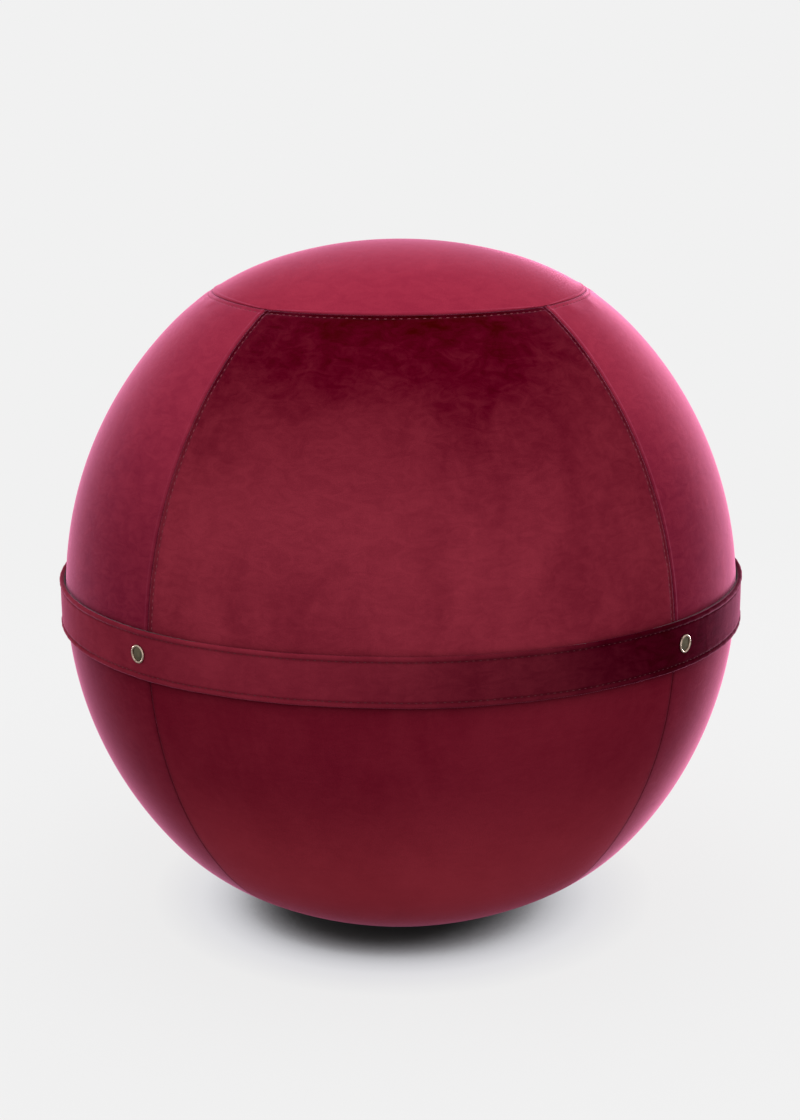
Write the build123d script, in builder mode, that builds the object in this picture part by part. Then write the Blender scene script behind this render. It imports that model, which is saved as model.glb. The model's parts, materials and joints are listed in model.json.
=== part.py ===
from build123d import *
from math import asin, cos, degrees, hypot, radians, sin
import os

# Sitting ball: an inflated ball in a velvet cover that stands on a weighted, flat foot and wears a
# carrying belt round its waist. Millimetres and degrees. +Z is up, the front faces -Y, and the origin
# is the middle of the foot, on the floor.

# Outline of the cover: three tangent arcs above the waist and three below it. Each arc's end is given
# by the angle at which the surface leans back from the vertical.
equator_radius = 274.5
equator_height = 267.5
upper_waist_radius = 305.5
upper_waist_angle = 45.0
upper_shoulder_radius = 210.0
upper_shoulder_angle = 74.0
lower_waist_radius = 303.5
lower_waist_angle = 40.0
lower_shoulder_radius = 188.0
lower_shoulder_angle = 60.0

# Cover
cover_thickness = 2.0
seam_gap = 0.4
layer_gap = 0.15
top_corner_reach = 154.0
top_front_reach = 154.6
top_side_reach = 149.4
top_corner_angle = 42.7
waist_corner_angle = 45.0
seam_tape_width = 12.0
seam_tape_thickness = 0.9

# Foot
pad_radius = 88.0
pad_thickness = 3.0
pad_edge_radius = 1.0
pad_groove_radii_shares = (0.85, 0.65, 0.45)
pad_groove_width = 2.0
pad_groove_depth = 0.8
base_seam_radius = 112.0
ballast_radius = 92.0
ballast_hole_radius = 30.0
ballast_height = 32.0
ballast_edge_radius = 9.0
pouch_thickness = 1.0
rest_gap = 0.3

# Inflatable ball
inner_ball_wall = 2.0
inner_ball_inset = 4.6
inner_ball_foot_edge = 25.0

# Valve
valve_bore_radius = 4.7
valve_neck_radius = 8.0
valve_neck_length = 15.0
plug_clearance = 0.1
plug_shank_length = 13.0
plug_head_radius = 10.0
plug_head_thickness = 3.0
plug_tip_taper = 0.8

# Zip in the rear half of the base seam
zip_length = 370.0
zip_slot_width = 9.0
zip_tape_width = 12.0
zip_tape_thickness = 0.7
zip_tape_gap = 1.4
zip_tooth_pitch = 4.0
zip_tooth_width = 1.7
zip_tooth_reach = 1.1
zip_tooth_root = 1.5
zip_tooth_height = 1.3
zip_stop_length = 3.0
zip_stop_width = 5.0
slider_length = 12.0
slider_width = 8.0
slider_plate = 1.1
slider_wing = 0.8
slider_clearance = 0.2
slider_bridge_length = 2.4
bail_post_width = 0.9
bail_post_length = 2.4
bail_pin_radius = 0.7
pull_eye_wall = 0.8
pull_pin_clearance = 0.1
pull_neck_width = 3.6
pull_width = 7.0
pull_length = 22.0
pull_thickness = 1.2
pull_neck_length = 3.0
pull_hole_radius = 1.8

# Belt
belt_width = 37.5
belt_radius = 278.5
belt_lining_thickness = 0.8
belt_core_thickness = 1.2
belt_standoff = 0.5
belt_hem_width = 6.0
belt_hem_rise = 0.6
belt_edge_inset = 1.0

# Press studs, one beyond each side seam
stud_beyond_seam = 6.0
cap_radius = 7.0
cap_rim_width = 1.6
cap_rise = 1.5
cap_centre_rise = 0.9
cap_centre_edge = 0.6
cap_shank_radius = 1.5
socket_radius = 5.7
socket_plate = 0.5
post_flange_radius = 5.5
post_flange_thickness = 0.5
post_ball_radius = 2.7
post_neck_radius = 2.0
post_height = 1.9
post_shank_radius = 1.8
stud_clearance = 0.25
rivet_clearance = 0.05
back_disc_thickness = 0.8

overrun = 5.0

front, right, back, left = "front", "right", "back", "left"
panel_sides = {
    front: ((-1, -1), (1, -1)),
    right: ((1, -1), (1, 1)),
    back: ((1, 1), (-1, 1)),
    left: ((-1, 1), (-1, -1)),
}


# Outline arcs, worked out from the waist upwards and mirrored for the lower half

def half_arcs(waist_radius, waist_angle, shoulder_radius, shoulder_angle):
    """Centre distance, centre height over the waist, radius, first and last angle of three arcs."""
    waist_x = equator_radius - waist_radius
    step = waist_radius - shoulder_radius
    shoulder_x = waist_x + step * cos(radians(waist_angle))
    shoulder_z = step * sin(radians(waist_angle))
    crown_radius = shoulder_radius + shoulder_x / cos(radians(shoulder_angle))
    crown_z = shoulder_z - (crown_radius - shoulder_radius) * sin(radians(shoulder_angle))
    return (
        (waist_x, 0, waist_radius, 0, waist_angle),
        (shoulder_x, shoulder_z, shoulder_radius, waist_angle, shoulder_angle),
        (0, crown_z, crown_radius, shoulder_angle, 90),
    )


upper_arcs = half_arcs(upper_waist_radius, upper_waist_angle, upper_shoulder_radius, upper_shoulder_angle)
lower_arcs = half_arcs(lower_waist_radius, lower_waist_angle, lower_shoulder_radius, lower_shoulder_angle)
crown_height = equator_height + upper_arcs[2][1] + upper_arcs[2][2]
foot_arc_height = equator_height - lower_arcs[2][1]
foot_arc_radius = lower_arcs[2][2]


def ball_section(inset, foot_height):
    """Half section of the ball's outline, drawn in by inset and cut flat at foot_height."""
    with BuildSketch(Plane.XZ) as section:
        with BuildLine() as outline:
            for x, z, radius, first, last in upper_arcs:
                CenterArc((x, equator_height + z), radius - inset, first, last - first)
            for x, z, radius, first, last in lower_arcs:
                CenterArc((x, equator_height - z), radius - inset, -last, last - first)
            top = crown_height - inset
            bottom = foot_arc_height - foot_arc_radius + inset
            Line((0, bottom), (0, top))
        make_face()
        with Locations((equator_radius / 2, (foot_height + crown_height) / 2)):
            Rectangle(equator_radius * 2, crown_height - foot_height, mode=Mode.INTERSECT)
    return section.sketch


def layer(inset, thickness):
    """A closed layer of the ball's shape between two insets, as one hollow solid of revolution."""
    foot = pad_thickness + inset
    with BuildPart() as whole:
        add(ball_section(inset, foot))
        revolve(axis=Axis.Z)
    with BuildPart() as hollow:
        add(ball_section(inset + thickness, foot + thickness))
        revolve(axis=Axis.Z)
    with BuildPart() as shell:
        add(whole.part)
        add(hollow.part, mode=Mode.SUBTRACT)
    return shell.part


def band_between(low, high, inner_radius, outer_radius):
    """Upright ring or disc between two heights."""
    with BuildPart() as ring:
        with BuildSketch(Plane.XY.offset(low)):
            Circle(outer_radius)
            if inner_radius > 0:
                Circle(inner_radius, mode=Mode.SUBTRACT)
        extrude(amount=high - low)
    return ring.part


# Seams of the cover, in plan

far_reach = equator_radius * 2


def plan_point(reach, angle):
    """Point in plan at a distance from the axis and an angle from the front's middle line."""
    return reach * sin(radians(angle)), reach * cos(radians(angle))


def seam_points(sign, corner_angle, corner_reach):
    """Two points on a side seam's upright plane: one well outside the ball, one well inside its end."""
    waist = plan_point(equator_radius, waist_corner_angle)
    corner = plan_point(corner_reach, corner_angle)
    run = hypot(waist[0] - corner[0], waist[1] - corner[1])
    way = ((waist[0] - corner[0]) / run, (waist[1] - corner[1]) / run)
    outside = (sign[0] * (corner[0] + far_reach * way[0]), sign[1] * (corner[1] + far_reach * way[1]))
    inward = corner_reach / 2
    inside = (sign[0] * (corner[0] - inward * way[0]), sign[1] * (corner[1] - inward * way[1]))
    return outside, inside


def panel_prism(side, corner_angle, corner_reach, low, high):
    """Upright prism over one side panel, half a seam gap smaller than its seams."""
    first, second = panel_sides[side]
    first_out, first_in = seam_points(first, corner_angle, corner_reach)
    second_out, second_in = seam_points(second, corner_angle, corner_reach)
    with BuildPart() as prism:
        with BuildSketch(Plane.XY.offset(low)):
            with BuildLine():
                Polyline(first_out, second_out, second_in, first_in, close=True)
            make_face()
            offset(amount=-seam_gap / 2, kind=Kind.INTERSECTION)
        extrude(amount=high - low)
    return prism.part


def top_prism(grow):
    """Upright prism over the top panel: a square with bowed sides, grown by grow all round."""
    corner_x, corner_y = plan_point(top_corner_reach + grow, top_corner_angle)
    front_y = top_front_reach + grow
    side_x = top_side_reach + grow
    with BuildPart() as prism:
        with BuildSketch(Plane.XY.offset(equator_height)):
            with BuildLine():
                ThreePointArc((-corner_x, -corner_y), (0, -front_y), (corner_x, -corner_y))
                ThreePointArc((corner_x, -corner_y), (side_x, 0), (corner_x, corner_y))
                ThreePointArc((corner_x, corner_y), (0, front_y), (-corner_x, corner_y))
                ThreePointArc((-corner_x, corner_y), (-side_x, 0), (-corner_x, -corner_y))
            make_face()
        extrude(amount=crown_height - equator_height + overrun)
    return prism.part


# Zip: its place on the foot's arc, which is part of one sphere

zip_lean = degrees(asin(base_seam_radius / foot_arc_radius))
zip_span = degrees(zip_length / base_seam_radius)
zip_start = 90 - zip_span / 2


def zip_angle(along):
    """Azimuth of a point that lies along the zip from its closed end."""
    return zip_start + degrees(along / base_seam_radius)


def zip_plane(along, inset=0):
    """Plane across the zip: x up the cover, y out of it, z along the zip."""
    azimuth = radians(zip_angle(along))
    lean = radians(zip_lean)
    outward = (cos(azimuth), sin(azimuth))
    reach = (foot_arc_radius - inset) * sin(lean)
    height = foot_arc_height - (foot_arc_radius - inset) * cos(lean)
    return Plane(
        origin=(outward[0] * reach, outward[1] * reach, height),
        x_dir=(outward[0] * cos(lean), outward[1] * cos(lean), sin(lean)),
        z_dir=(-outward[1], outward[0], 0),
    )


def zip_ring(start, length, low_x, high_x, outer_inset, inner_inset):
    """Block that follows the zip's curve and the cover's: low_x to high_x across it, between insets."""
    with BuildPart() as block:
        with BuildSketch(zip_plane(start)):
            with Locations((0, -foot_arc_radius)):
                Circle(foot_arc_radius - outer_inset)
                Circle(foot_arc_radius - inner_inset, mode=Mode.SUBTRACT)
            with Locations(((low_x + high_x) / 2, 0)):
                Rectangle(high_x - low_x, base_seam_radius, mode=Mode.INTERSECT)
        revolve(axis=Axis.Z, revolution_arc=degrees(length / base_seam_radius))
    return block.part


zip_slot = zip_ring(
    0, zip_length, -zip_slot_width / 2, zip_slot_width / 2, -overrun, cover_thickness + overrun
)

# Layers, from the outside in

tape_inset = cover_thickness + layer_gap
zip_tape_inner_inset = tape_inset + zip_tape_thickness
upper_band = band_between(equator_height + seam_gap / 2, crown_height + overrun, 0, far_reach)
lower_band = band_between(0, equator_height - seam_gap / 2, base_seam_radius + seam_gap / 2, far_reach)
cover = layer(0, cover_thickness)
tape_layer = layer(tape_inset, seam_tape_thickness)

# Stud places, on the belt's mid line

stud_shift = degrees(stud_beyond_seam / equator_radius)
stud_azimuths = [
    turn + sign * (waist_corner_angle + stud_shift) for turn in (-90, 90) for sign in (-1, 1)
]


def stud_plane(azimuth, radius):
    """Plane square to a stud's axis, facing outwards, at a distance from the ball's axis."""
    way = (cos(radians(azimuth)), sin(radians(azimuth)), 0)
    return Plane(origin=(way[0] * radius, way[1] * radius, equator_height), x_dir=(0, 0, 1), z_dir=way)


def stud_discs(radius, low, high, hole=0):
    """Four like discs square to the stud axes, between two distances from the ball's axis."""
    with BuildPart() as discs:
        for azimuth in stud_azimuths:
            with BuildSketch(stud_plane(azimuth, low)):
                Circle(radius)
                if hole > 0:
                    Circle(hole, mode=Mode.SUBTRACT)
            extrude(amount=high - low)
    return discs.part


shank_holes = stud_discs(
    post_shank_radius + stud_clearance, equator_radius - inner_ball_inset, equator_radius + overrun
)


def write(part, name):
    part.label = name
    export_step(part, f"parts/{name}.step")


os.makedirs("parts", exist_ok=True)

# Top panel
with BuildPart() as top_panel:
    add(cover)
    add(top_prism(-seam_gap / 2), mode=Mode.INTERSECT)
write(top_panel.part, "top_panel")

# Side panels above the belt
for side in panel_sides:
    with BuildPart() as upper_panel:
        add(cover)
        add(upper_band, mode=Mode.INTERSECT)
        add(
            panel_prism(side, top_corner_angle, top_corner_reach, equator_height, crown_height + overrun),
            mode=Mode.INTERSECT,
        )
        add(top_prism(seam_gap / 2), mode=Mode.SUBTRACT)
        add(shank_holes, mode=Mode.SUBTRACT)
    write(upper_panel.part, f"upper_{side}_panel")

# Side panels below the belt
for side in panel_sides:
    with BuildPart() as lower_panel:
        add(cover)
        add(lower_band, mode=Mode.INTERSECT)
        add(
            panel_prism(side, waist_corner_angle, base_seam_radius, 0, equator_height),
            mode=Mode.INTERSECT,
        )
        add(zip_slot, mode=Mode.SUBTRACT)
        add(shank_holes, mode=Mode.SUBTRACT)
    write(lower_panel.part, f"lower_{side}_panel")

# Base panel, inside the base seam
with BuildPart() as base_panel:
    add(cover)
    add(band_between(0, equator_height, 0, base_seam_radius - seam_gap / 2), mode=Mode.INTERSECT)
    add(zip_slot, mode=Mode.SUBTRACT)
write(base_panel.part, "base_panel")

# Non-slip pad under the base panel, with ring grooves in its underside
with BuildPart() as non_slip_pad:
    with BuildSketch(Plane.XY):
        Circle(pad_radius)
    extrude(amount=pad_thickness)
    fillet(non_slip_pad.edges().group_by(Axis.Z)[0], radius=pad_edge_radius)
    with BuildSketch(Plane.XY):
        for share in pad_groove_radii_shares:
            Circle(pad_radius * share + pad_groove_width / 2)
            Circle(pad_radius * share - pad_groove_width / 2, mode=Mode.SUBTRACT)
    extrude(amount=pad_groove_depth, mode=Mode.SUBTRACT)
write(non_slip_pad.part, "non_slip_pad")

# Tapes inside the seams
with BuildPart() as top_seam_tape:
    add(tape_layer)
    add(top_prism(seam_tape_width / 2), mode=Mode.INTERSECT)
    add(top_prism(-seam_tape_width / 2), mode=Mode.SUBTRACT)
write(top_seam_tape.part, "top_seam_tape")

with BuildPart() as waist_seam_tape:
    add(tape_layer)
    add(
        band_between(
            equator_height - seam_tape_width / 2, equator_height + seam_tape_width / 2, 0, far_reach
        ),
        mode=Mode.INTERSECT,
    )
    add(shank_holes, mode=Mode.SUBTRACT)
write(waist_seam_tape.part, "waist_seam_tape")


def seam_strips(corner_angle, corner_reach, low, high):
    """Upright slabs of the tape's width, centred on the four side seams."""
    with BuildPart() as slabs:
        for sign in ((1, 1), (-1, 1), (-1, -1), (1, -1)):
            outside, inside = seam_points(sign, corner_angle, corner_reach)
            middle = ((outside[0] + inside[0]) / 2, (outside[1] + inside[1]) / 2)
            run = (outside[0] - inside[0], outside[1] - inside[1])
            with BuildSketch(Plane(origin=(*middle, low), x_dir=(*run, 0), z_dir=(0, 0, 1))):
                Rectangle(hypot(*run), seam_tape_width)
            extrude(amount=high - low)
    return slabs.part


tape_end = seam_tape_width / 2 + rest_gap
zip_tape_reach = base_seam_radius + zip_tape_gap / 2 + zip_tape_width + rest_gap
with BuildPart() as upper_strips:
    add(seam_strips(top_corner_angle, top_corner_reach, equator_height + tape_end, crown_height + overrun))
    add(top_prism(tape_end), mode=Mode.SUBTRACT)
with BuildPart() as lower_strips:
    add(seam_strips(waist_corner_angle, base_seam_radius, 0, equator_height - tape_end))
    add(band_between(-overrun, equator_height, 0, zip_tape_reach), mode=Mode.SUBTRACT)
with BuildPart() as side_seam_tapes:
    add(upper_strips.part)
    add(lower_strips.part)
    add(tape_layer, mode=Mode.INTERSECT)
write(side_seam_tapes.part, "side_seam_tapes")

# Zip tapes, under the cover's edges along the slot
for row, way in (("outer", 1), ("inner", -1)):
    near = way * zip_tape_gap / 2
    far = way * (zip_tape_gap / 2 + zip_tape_width)
    tape = zip_ring(0, zip_length, min(near, far), max(near, far), tape_inset, zip_tape_inner_inset)
    write(tape, f"zip_{row}_tape")

# Zip teeth: two rows that interlock, standing on the edges of the tapes
stop_inset = tape_inset - zip_tooth_height
slider_start = zip_stop_length + slider_clearance
first_tooth = slider_start + slider_clearance * 2 + slider_bridge_length
last_tooth = zip_length - zip_stop_length - zip_tooth_pitch / 2
tooth_count = int((last_tooth - first_tooth) / zip_tooth_pitch * 2) // 2
for row, way, lag in (("outer", 1, 0), ("inner", -1, zip_tooth_pitch / 2)):
    near = -way * zip_tooth_reach
    far = way * (zip_tape_gap / 2 + zip_tooth_root)
    low_x, high_x = min(near, far), max(near, far)
    with BuildPart() as teeth:
        for number in range(tooth_count):
            along = first_tooth + number * zip_tooth_pitch + lag
            with BuildSketch(zip_plane(along)):
                with Locations(((low_x + high_x) / 2, -(stop_inset + tape_inset) / 2)):
                    Rectangle(high_x - low_x, zip_tooth_height)
            extrude(amount=zip_tooth_width)
    write(teeth.part, f"zip_{row}_teeth")

with BuildPart() as zip_end_stops:
    for start in (0, zip_length - zip_stop_length):
        add(
            zip_ring(
                start, zip_stop_length, -zip_stop_width / 2, zip_stop_width / 2, stop_inset, tape_inset
            )
        )
write(zip_end_stops.part, "zip_end_stops")

# Zip slider: an outer and an inner plate round the teeth, joined by a bridge, with a bail on top
slider_outer_inset = stop_inset - slider_clearance - slider_plate
slider_inner_inset = zip_tape_inner_inset + slider_clearance
wing_x = slider_width / 2 - slider_wing
pull_eye_radius = bail_pin_radius + pull_pin_clearance + pull_eye_wall
bail_height = pull_eye_radius + rest_gap
post_x = pull_neck_width / 2 + slider_clearance
slider_middle = slider_start + slider_length / 2
with BuildPart() as zip_slider:
    add(
        zip_ring(
            slider_start, slider_length, -slider_width / 2, slider_width / 2,
            slider_outer_inset, slider_outer_inset + slider_plate,
        )
    )
    for near, far in ((-slider_width / 2, -wing_x), (wing_x, slider_width / 2)):
        add(
            zip_ring(
                slider_start, slider_length, near, far,
                slider_outer_inset, tape_inset - slider_clearance,
            )
        )
    add(
        zip_ring(
            slider_start, slider_length, -slider_width / 2, slider_width / 2,
            slider_inner_inset, slider_inner_inset + slider_plate,
        )
    )
    bridge_half = zip_tape_gap / 2 - slider_clearance
    add(
        zip_ring(
            slider_start, slider_bridge_length, -bridge_half, bridge_half,
            slider_outer_inset, slider_inner_inset + slider_plate,
        )
    )
    post_top = bail_height + bail_pin_radius
    for x_way in (-1, 1):
        with BuildSketch(zip_plane(slider_middle - bail_post_length / 2, slider_outer_inset)):
            with Locations((x_way * (post_x + bail_post_width / 2), (post_top - slider_plate / 2) / 2)):
                Rectangle(bail_post_width, post_top + slider_plate / 2)
        extrude(amount=bail_post_length)
    pin_plane = zip_plane(slider_middle, slider_outer_inset)
    pin_middle = pin_plane.from_local_coords(Vector(0, bail_height, 0))
    with BuildSketch(Plane(origin=pin_middle, x_dir=pin_plane.z_dir, z_dir=pin_plane.x_dir)):
        Circle(bail_pin_radius)
    extrude(amount=post_x + bail_post_width / 2, both=True)
write(zip_slider.part, "zip_slider")

# Pull tab: an eye round the bail's pin, a neck between its posts, and a plate with a hole
with BuildPart() as zip_pull:
    eye_plane = Plane(origin=pin_middle, x_dir=pin_plane.z_dir, z_dir=pin_plane.x_dir)
    with BuildSketch(eye_plane):
        Circle(pull_eye_radius)
    extrude(amount=pull_neck_width / 2, both=True)
    plate_plane = Plane(origin=pin_middle, x_dir=pin_plane.z_dir, z_dir=pin_plane.y_dir)
    plate_start = pull_neck_length
    with BuildSketch(plate_plane):
        with Locations((plate_start / 2, 0)):
            Rectangle(plate_start, pull_neck_width)
        with Locations(((plate_start + pull_length) / 2, 0)):
            RectangleRounded(pull_length - plate_start, pull_width, pull_width / 4)
        with Locations((pull_length - pull_width / 2, 0)):
            Circle(pull_hole_radius, mode=Mode.SUBTRACT)
    extrude(amount=pull_thickness / 2, both=True)
    with BuildSketch(eye_plane):
        Circle(bail_pin_radius + pull_pin_clearance)
    extrude(amount=pull_neck_width, both=True, mode=Mode.SUBTRACT)
write(zip_pull.part, "zip_pull")

# Ballast: a ring-shaped pouch on the base panel, and the weight packed in it
ballast_floor = pad_thickness + cover_thickness + rest_gap
with BuildPart() as ballast_body:
    add(band_between(ballast_floor, ballast_floor + ballast_height, ballast_hole_radius, ballast_radius))
    fillet(ballast_body.edges(), radius=ballast_edge_radius)
fill_inset = pouch_thickness + layer_gap
with BuildPart() as pouch_hollow:
    add(
        band_between(
            ballast_floor + pouch_thickness, ballast_floor + ballast_height - pouch_thickness,
            ballast_hole_radius + pouch_thickness, ballast_radius - pouch_thickness,
        )
    )
    fillet(pouch_hollow.edges(), radius=ballast_edge_radius - pouch_thickness)
with BuildPart() as ballast_pouch:
    add(ballast_body.part)
    add(pouch_hollow.part, mode=Mode.SUBTRACT)
write(ballast_pouch.part, "ballast_pouch")

with BuildPart() as ballast_fill:
    add(
        band_between(
            ballast_floor + fill_inset, ballast_floor + ballast_height - fill_inset,
            ballast_hole_radius + fill_inset, ballast_radius - fill_inset,
        )
    )
    fillet(ballast_fill.edges(), radius=ballast_edge_radius - fill_inset)
write(ballast_fill.part, "ballast_fill")


# Inflatable ball: a hollow skin that sits on the ballast, with the valve's neck inside its foot

def inner_ball_body(inset, foot_height, edge_radius):
    """The inflated shape, drawn in by inset and flattened at foot_height with a rounded edge."""
    with BuildPart() as body:
        add(ball_section(inset, foot_height))
        revolve(axis=Axis.Z)
        fillet(body.faces().sort_by(Axis.Z)[0].edges(), radius=edge_radius)
    return body.part


inner_ball_foot = ballast_floor + ballast_height + rest_gap
neck_top = inner_ball_foot + valve_neck_length
with BuildPart() as inner_ball:
    add(inner_ball_body(inner_ball_inset, inner_ball_foot, inner_ball_foot_edge))
    add(
        inner_ball_body(
            inner_ball_inset + inner_ball_wall, inner_ball_foot + inner_ball_wall,
            inner_ball_foot_edge - inner_ball_wall,
        ),
        mode=Mode.SUBTRACT,
    )
    add(band_between(inner_ball_foot, neck_top, 0, valve_neck_radius))
    add(
        band_between(inner_ball_foot - overrun, neck_top + overrun, 0, valve_bore_radius),
        mode=Mode.SUBTRACT,
    )
write(inner_ball.part, "inner_ball")

# Valve plug: a head under the ball's foot and a tapered shank in the neck
with BuildPart() as valve_plug:
    head_top = inner_ball_foot - layer_gap
    with BuildSketch(Plane.XY.offset(head_top - plug_head_thickness)):
        Circle(plug_head_radius)
    extrude(amount=plug_head_thickness)
    fillet(valve_plug.edges().group_by(Axis.Z)[0], radius=plug_head_thickness / 2)
    with BuildSketch(Plane.XY.offset(head_top)):
        Circle(valve_bore_radius - plug_clearance)
    extrude(amount=plug_shank_length)
    chamfer(valve_plug.edges().group_by(Axis.Z)[-1], length=plug_tip_taper)
write(valve_plug.part, "valve_plug")

# Belt: lining, core and velvet band, one inside the other, with recesses for the studs
belt_inner_radius = equator_radius + belt_standoff
belt_low = equator_height - belt_width / 2
belt_high = equator_height + belt_width / 2
core_inner_radius = belt_inner_radius + belt_lining_thickness + layer_gap
band_inner_radius = core_inner_radius + belt_core_thickness + layer_gap
recess = stud_discs(
    socket_radius + stud_clearance, belt_inner_radius - overrun, band_inner_radius - layer_gap / 2
)
cap_shank_holes = stud_discs(
    cap_shank_radius + stud_clearance, belt_inner_radius, belt_radius + overrun
)

with BuildPart() as belt_lining:
    add(
        band_between(
            belt_low + belt_edge_inset, belt_high - belt_edge_inset,
            belt_inner_radius, belt_inner_radius + belt_lining_thickness,
        )
    )
    add(recess, mode=Mode.SUBTRACT)
write(belt_lining.part, "belt_lining")

with BuildPart() as belt_core:
    add(
        band_between(
            belt_low + belt_hem_width / 2, belt_high - belt_hem_width / 2,
            core_inner_radius, core_inner_radius + belt_core_thickness,
        )
    )
    add(recess, mode=Mode.SUBTRACT)
write(belt_core.part, "belt_core")

band_thickness = belt_radius - band_inner_radius
hem_radius = belt_radius + belt_hem_rise
with BuildPart() as belt_band:
    with BuildSketch(Plane.XZ):
        with Locations(((band_inner_radius + belt_radius) / 2, equator_height)):
            Rectangle(band_thickness, belt_width)
        hem_middle = (belt_width - belt_hem_width) / 2
        with Locations(
            ((band_inner_radius + hem_radius) / 2, equator_height - hem_middle),
            ((band_inner_radius + hem_radius) / 2, equator_height + hem_middle),
        ):
            Rectangle(hem_radius - band_inner_radius, belt_hem_width)
    revolve(axis=Axis.Z)
    outer_edges = belt_band.edges().filter_by(GeomType.CIRCLE).sort_by(SortBy.RADIUS)[-4:]
    fillet(outer_edges, radius=belt_hem_rise / 2)
    add(cap_shank_holes, mode=Mode.SUBTRACT)
write(belt_band.part, "belt_band")


# Press studs, each piece a group of four

def stud_turned(section, radius):
    """Four like turned pieces from a half section: x off the stud's axis, y out of the ball."""
    with BuildPart() as turned:
        for azimuth in stud_azimuths:
            plane = stud_plane(azimuth, radius)
            with BuildSketch(Plane(origin=plane.origin, x_dir=plane.x_dir, z_dir=-plane.y_dir)):
                add(section)
            revolve(axis=Axis(plane.origin, plane.z_dir))
    return turned.part


post_base = equator_radius + layer_gap
back_disc_outer = equator_radius - tape_inset - seam_tape_thickness - layer_gap
back_disc_inner = back_disc_outer - back_disc_thickness


# Post: a flange on the cover, a neck and ball that go into the socket, and a shank through the cover
post_shank_end = back_disc_inner - post_base
post_neck_end = (post_height + post_flange_thickness) / 2
post_tip_radius = (post_ball_radius + post_neck_radius) / 2
with BuildSketch() as post_section:
    with BuildLine():
        Polyline(
            (0, post_shank_end),
            (post_shank_radius, post_shank_end),
            (post_shank_radius, 0),
            (post_flange_radius, 0),
            (post_flange_radius, post_flange_thickness),
            (post_neck_radius, post_flange_thickness),
            (post_ball_radius, post_neck_end),
            (post_tip_radius, post_height),
            (0, post_height),
            close=True,
        )
    make_face()
write(stud_turned(post_section.sketch, post_base), "stud_posts")
write(
    stud_discs(post_flange_radius, back_disc_inner, back_disc_outer, post_shank_radius + rivet_clearance),
    "stud_back_discs",
)

socket_low = post_base + post_flange_thickness + layer_gap
socket_high = band_inner_radius - layer_gap
plate_low = socket_high - socket_plate
with BuildPart() as stud_sockets:
    add(stud_discs(socket_radius, socket_low, plate_low, post_ball_radius + stud_clearance))
    add(stud_discs(socket_radius, plate_low, socket_high, cap_shank_radius + rivet_clearance))
write(stud_sockets.part, "stud_sockets")

cap_base = belt_radius + layer_gap
cap_centre_radius = cap_radius - cap_rim_width - rivet_clearance

# Cap rim: a rounded ring
with BuildSketch() as rim_section:
    with Locations((cap_radius - cap_rim_width / 2, cap_rise / 2)):
        RectangleRounded(cap_rim_width, cap_rise, cap_rim_width * 2 / 5)
write(stud_turned(rim_section.sketch, cap_base), "stud_cap_rims")

# Cap centre: a low dome inside the rim, on a shank through the belt into the socket's plate
cap_shank_end = plate_low - cap_base
dome_rise = cap_centre_rise - cap_centre_edge
dome_radius = (cap_centre_radius**2 + dome_rise**2) / (2 * dome_rise)
dome_angle = degrees(asin(cap_centre_radius / dome_radius))
with BuildSketch() as centre_section:
    with BuildLine():
        Polyline(
            (0, cap_centre_rise),
            (0, cap_shank_end),
            (cap_shank_radius, cap_shank_end),
            (cap_shank_radius, 0),
            (cap_centre_radius, 0),
            (cap_centre_radius, cap_centre_edge),
        )
        CenterArc((0, cap_centre_rise - dome_radius), dome_radius, 90 - dome_angle, dome_angle)
    make_face()
write(stud_turned(centre_section.sketch, cap_base), "stud_cap_centres")
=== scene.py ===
import json
from math import cos, pi, radians, sin

import bpy
import numpy as np
from mathutils import Matrix, Vector

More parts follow.
